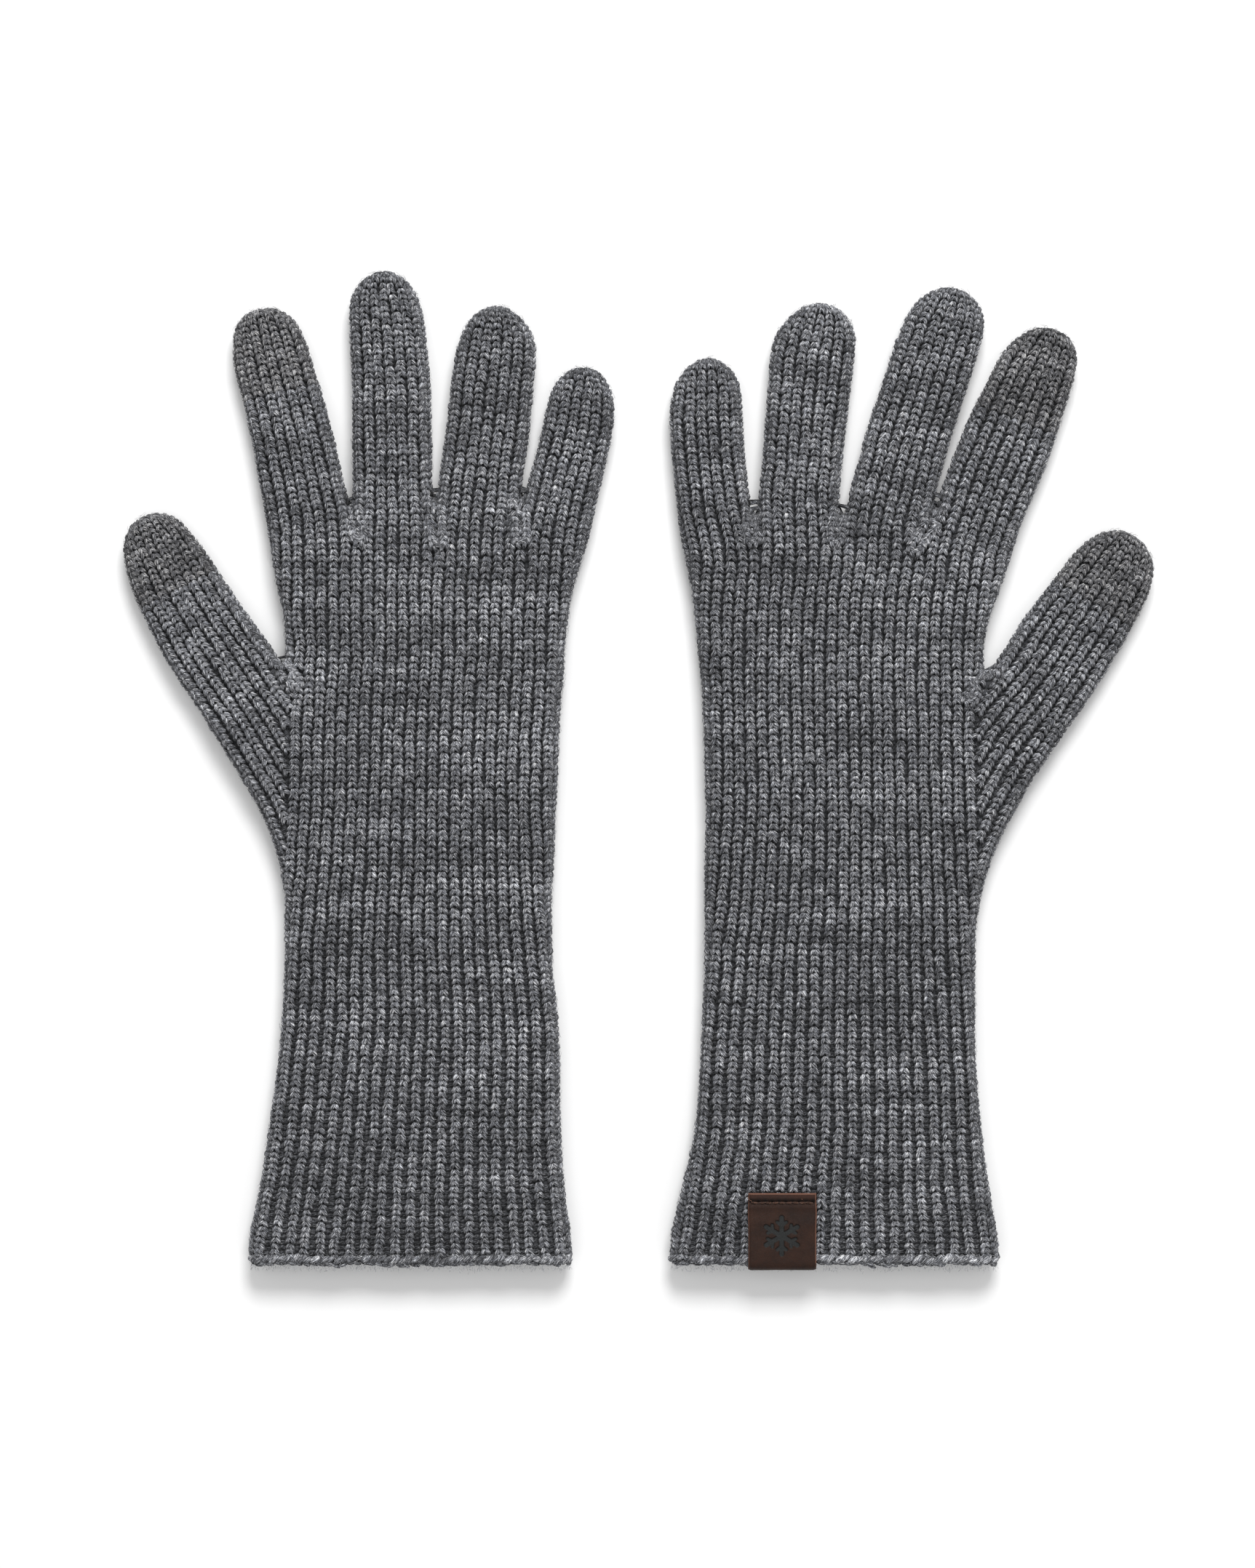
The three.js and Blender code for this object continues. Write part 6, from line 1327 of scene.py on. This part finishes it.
    # faces must point out
    vol = 0.0
    co = verts
    for f in faces[:: max(1, len(faces) // 4000)]:
        a, b, c = co[f[0]], co[f[1]], co[f[2]]
        vol += np.dot(a - co.mean(0), np.cross(b - co.mean(0), c - co.mean(0)))
    if vol < 0:
        me.flip_normals()
    me.polygons.foreach_set("use_smooth", np.ones(len(me.polygons), bool))
    ob = bpy.data.objects.new("label_leather", me)
    bpy.context.scene.collection.objects.link(ob)

    mat, nt, bsdf = new_material("label_leather")
    N = Nodes(nt)
    tc = nt.nodes.new("ShaderNodeTexCoord").outputs["Object"]
    pos = N.mapping(tc, (1000, 1000, 1000))
    vor = nt.nodes.new("ShaderNodeTexVoronoi")
    vor.feature = "DISTANCE_TO_EDGE"
    vor.inputs["Scale"].default_value = 2.9
    warp = nt.nodes.new("ShaderNodeVectorMath")
    warp.operation = "ADD"
    wn = nt.nodes.new("ShaderNodeTexNoise")
    wn.inputs["Scale"].default_value = 1.6
    N.link(pos, wn.inputs["Vector"])
    N.link(pos, warp.inputs[0])
    N.link(wn.outputs["Color"], warp.inputs[1])
    N.link(warp.outputs[0], vor.inputs["Vector"])
    grain = N.math("MINIMUM", N.math("MULTIPLY", vor.outputs["Distance"], 4.0), 1.0)
    big = N.noise(pos, 0.16, 3, 0.55)
    fine = N.noise(pos, 2.6, 4, 0.65)
    crease = N.noise(N.mapping(tc, (260, 900, 300)), 1.0, 4, 0.7)
    f = N.math("ADD", N.math("MULTIPLY", big, 0.6), N.math("MULTIPLY", fine, 0.4))
    col = N.ramp(f, [(0.32, srgb(30, 16, 10)), (0.5, srgb(43, 24, 15)), (0.68, srgb(55, 32, 21))])
    col = N.mix(N.math("MULTIPLY", N.math("SUBTRACT", 1.0, grain), 0.22), col, srgb(22, 14, 11))
    col = N.mix(N.math("MULTIPLY", N.attr("strip"), 0.30), col, srgb(60, 32, 23))
    # painted highlight on the edges facing the key light, mixed with the lighter raw leather edges and back
    col = N.mix(N.math("MULTIPLY", N.attr("wear"), 0.70), col, srgb(138, 98, 82))
    slate = N.ramp(fine, [(0.3, srgb(28, 30, 30)), (0.7, srgb(42, 44, 44))])
    col = N.mix(N.math("MULTIPLY", N.attr("mark"), 0.97, True), col, slate)
    # painted shade along the sewing dent and in the needle holes
    col = N.mix(N.math("MULTIPLY", N.attr("hole"), 0.92, True), col, srgb(9, 6, 5))
    N.link(col, bsdf.inputs["Base Color"])
    h = N.math("ADD", N.math("MULTIPLY", grain, 0.5), N.math("MULTIPLY", crease, 0.9))
    h = N.math("ADD", h, N.math("MULTIPLY", fine, 0.3))
    N.link(N.bump(h, 0.55, 0.00016), bsdf.inputs["Normal"])
    N.link(N.math("MULTIPLY_ADD", f, 0.3), bsdf.inputs["Roughness"])
    nt.nodes[-1].inputs[2].default_value = 0.36
    bsdf.inputs["Specular IOR Level"].default_value = 0.20
    me.materials.append(mat)
    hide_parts("label")
    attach(ob, "left_cuff")

    # the sewing thread: short plump stitches between the holes, with two loose ends
    th = Piece("label_thread")
    zt = z_top - 0.35 + half - 0.12
    segs = []
    for k in range(9):
        a = x0 + 1.1 + k * holes
        tilt = 0.18 * (1 if k % 2 else -1) + rng.normal(0, 0.05)
        u = np.linspace(0, 1, 5)
        segs.append(np.c_[a + 0.08 + u * (holes - 0.16), sew_y + tilt * (u - 0.5), zt - 0.42 + 0.55 * np.sin(u * math.pi)])
    C = np.array(segs)
    Nn = np.zeros_like(C)
    Nn[..., 2] = 1
    rr = 0.30 * np.array([0.75, 1, 1.05, 1, 0.75])
    th.add(C, Nn, np.repeat(np.stack([rr, rr * 0.9], -1)[None], len(C), 0), 8, np.ones(len(C)), rng.uniform(0, 100, len(C)), False)
    ends = []
    for (a, b, sx) in ((x0 + 1.1, sew_y, -1), (x0 + 16.4, sew_y + 0.3, 1)):
        u = np.linspace(0, 1, 9)
        ends.append(np.c_[a + sx * 0.9 * u + 0.25 * np.sin(u * 5), b + 1.7 * u + 0.2 * np.sin(u * 7), zt - 0.25 + 0.5 * np.sin(u * 2.6)])
    C = np.array(ends)
    Nn = np.zeros_like(C)
    Nn[..., 2] = 1
    th.add(C, Nn, np.full((2, 9, 2), 0.085), 6, np.ones(2) * 1.5, rng.uniform(0, 100, 2), False)
    thread = yarn_material("label_thread", srgb(40, 25, 19), srgb(70, 45, 34), srgb(104, 72, 56), srgb(140, 104, 84), 0.45)
    ob = th.build(thread, "label_thread")
    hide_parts("label_stitching")
    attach(ob, "left_cuff")


label()


# ------------------------------------------------------------------ studio
def plane_floor():
    me = bpy.data.meshes.new("studio_floor")
    s = 6.0
    me.from_pydata([(-s, -s, -0.0004), (s, -s, -0.0004), (s, s, -0.0004), (-s, s, -0.0004)], [], [(0, 1, 2, 3)])
    me.update()
    ob = bpy.data.objects.new("studio_floor", me)
    bpy.context.scene.collection.objects.link(ob)
    mat, nt, bsdf = new_material("studio_floor")
    bsdf.inputs["Base Color"].default_value = (0.90, 0.90, 0.90, 1)
    bsdf.inputs["Roughness"].default_value = 0.9
    bsdf.inputs["Specular IOR Level"].default_value = 0.1
    me.materials.append(mat)


plane_floor()


def area(name, loc, target, size, power, color=(1, 1, 1)):
    li = bpy.data.lights.new(name, "AREA")
    li.shape = "RECTANGLE"
    li.size, li.size_y = size
    li.energy = power
    li.color = color
    ob = bpy.data.objects.new(name, li)
    bpy.context.scene.collection.objects.link(ob)
    ob.location = loc
    ob.rotation_euler = (Vector(target) - Vector(loc)).to_track_quat("-Z", "Y").to_euler()
    return ob


area("key", (0.25, 1.55, 1.60), (0, 0, 0), (0.95, 0.70), KEY_POWER)
area("fill", (0.0, -0.2, 2.2), (0, 0, 0), (2.4, 2.4), FILL_POWER)
world = bpy.data.worlds.new("studio")
bpy.context.scene.world = world
world.use_nodes = True
bg = world.node_tree.nodes["Background"]
bg.inputs[0].default_value = (1, 1, 1, 1)
bg.inputs[1].default_value = WORLD_LIGHT

cam = bpy.data.cameras.new("camera")
cam.lens, cam.sensor_fit, cam.sensor_width = 120, "HORIZONTAL", 36
cam.dof.use_dof = False
cam.clip_end = 50
co = bpy.data.objects.new("camera", cam)
bpy.context.scene.collection.objects.link(co)
co.location = (CENTRE[0] / 1000, (CENTRE[1] - 1.45) / 1000, 0.007 + 120 * 0.39675 / 36)
co.rotation_euler = (0, 0, 0)
bpy.context.scene.camera = co
sc = bpy.context.scene
sc.view_settings.view_transform = "Standard"
sc.view_settings.look = "None"
sc.view_settings.exposure = 0
sc.view_settings.gamma = 1
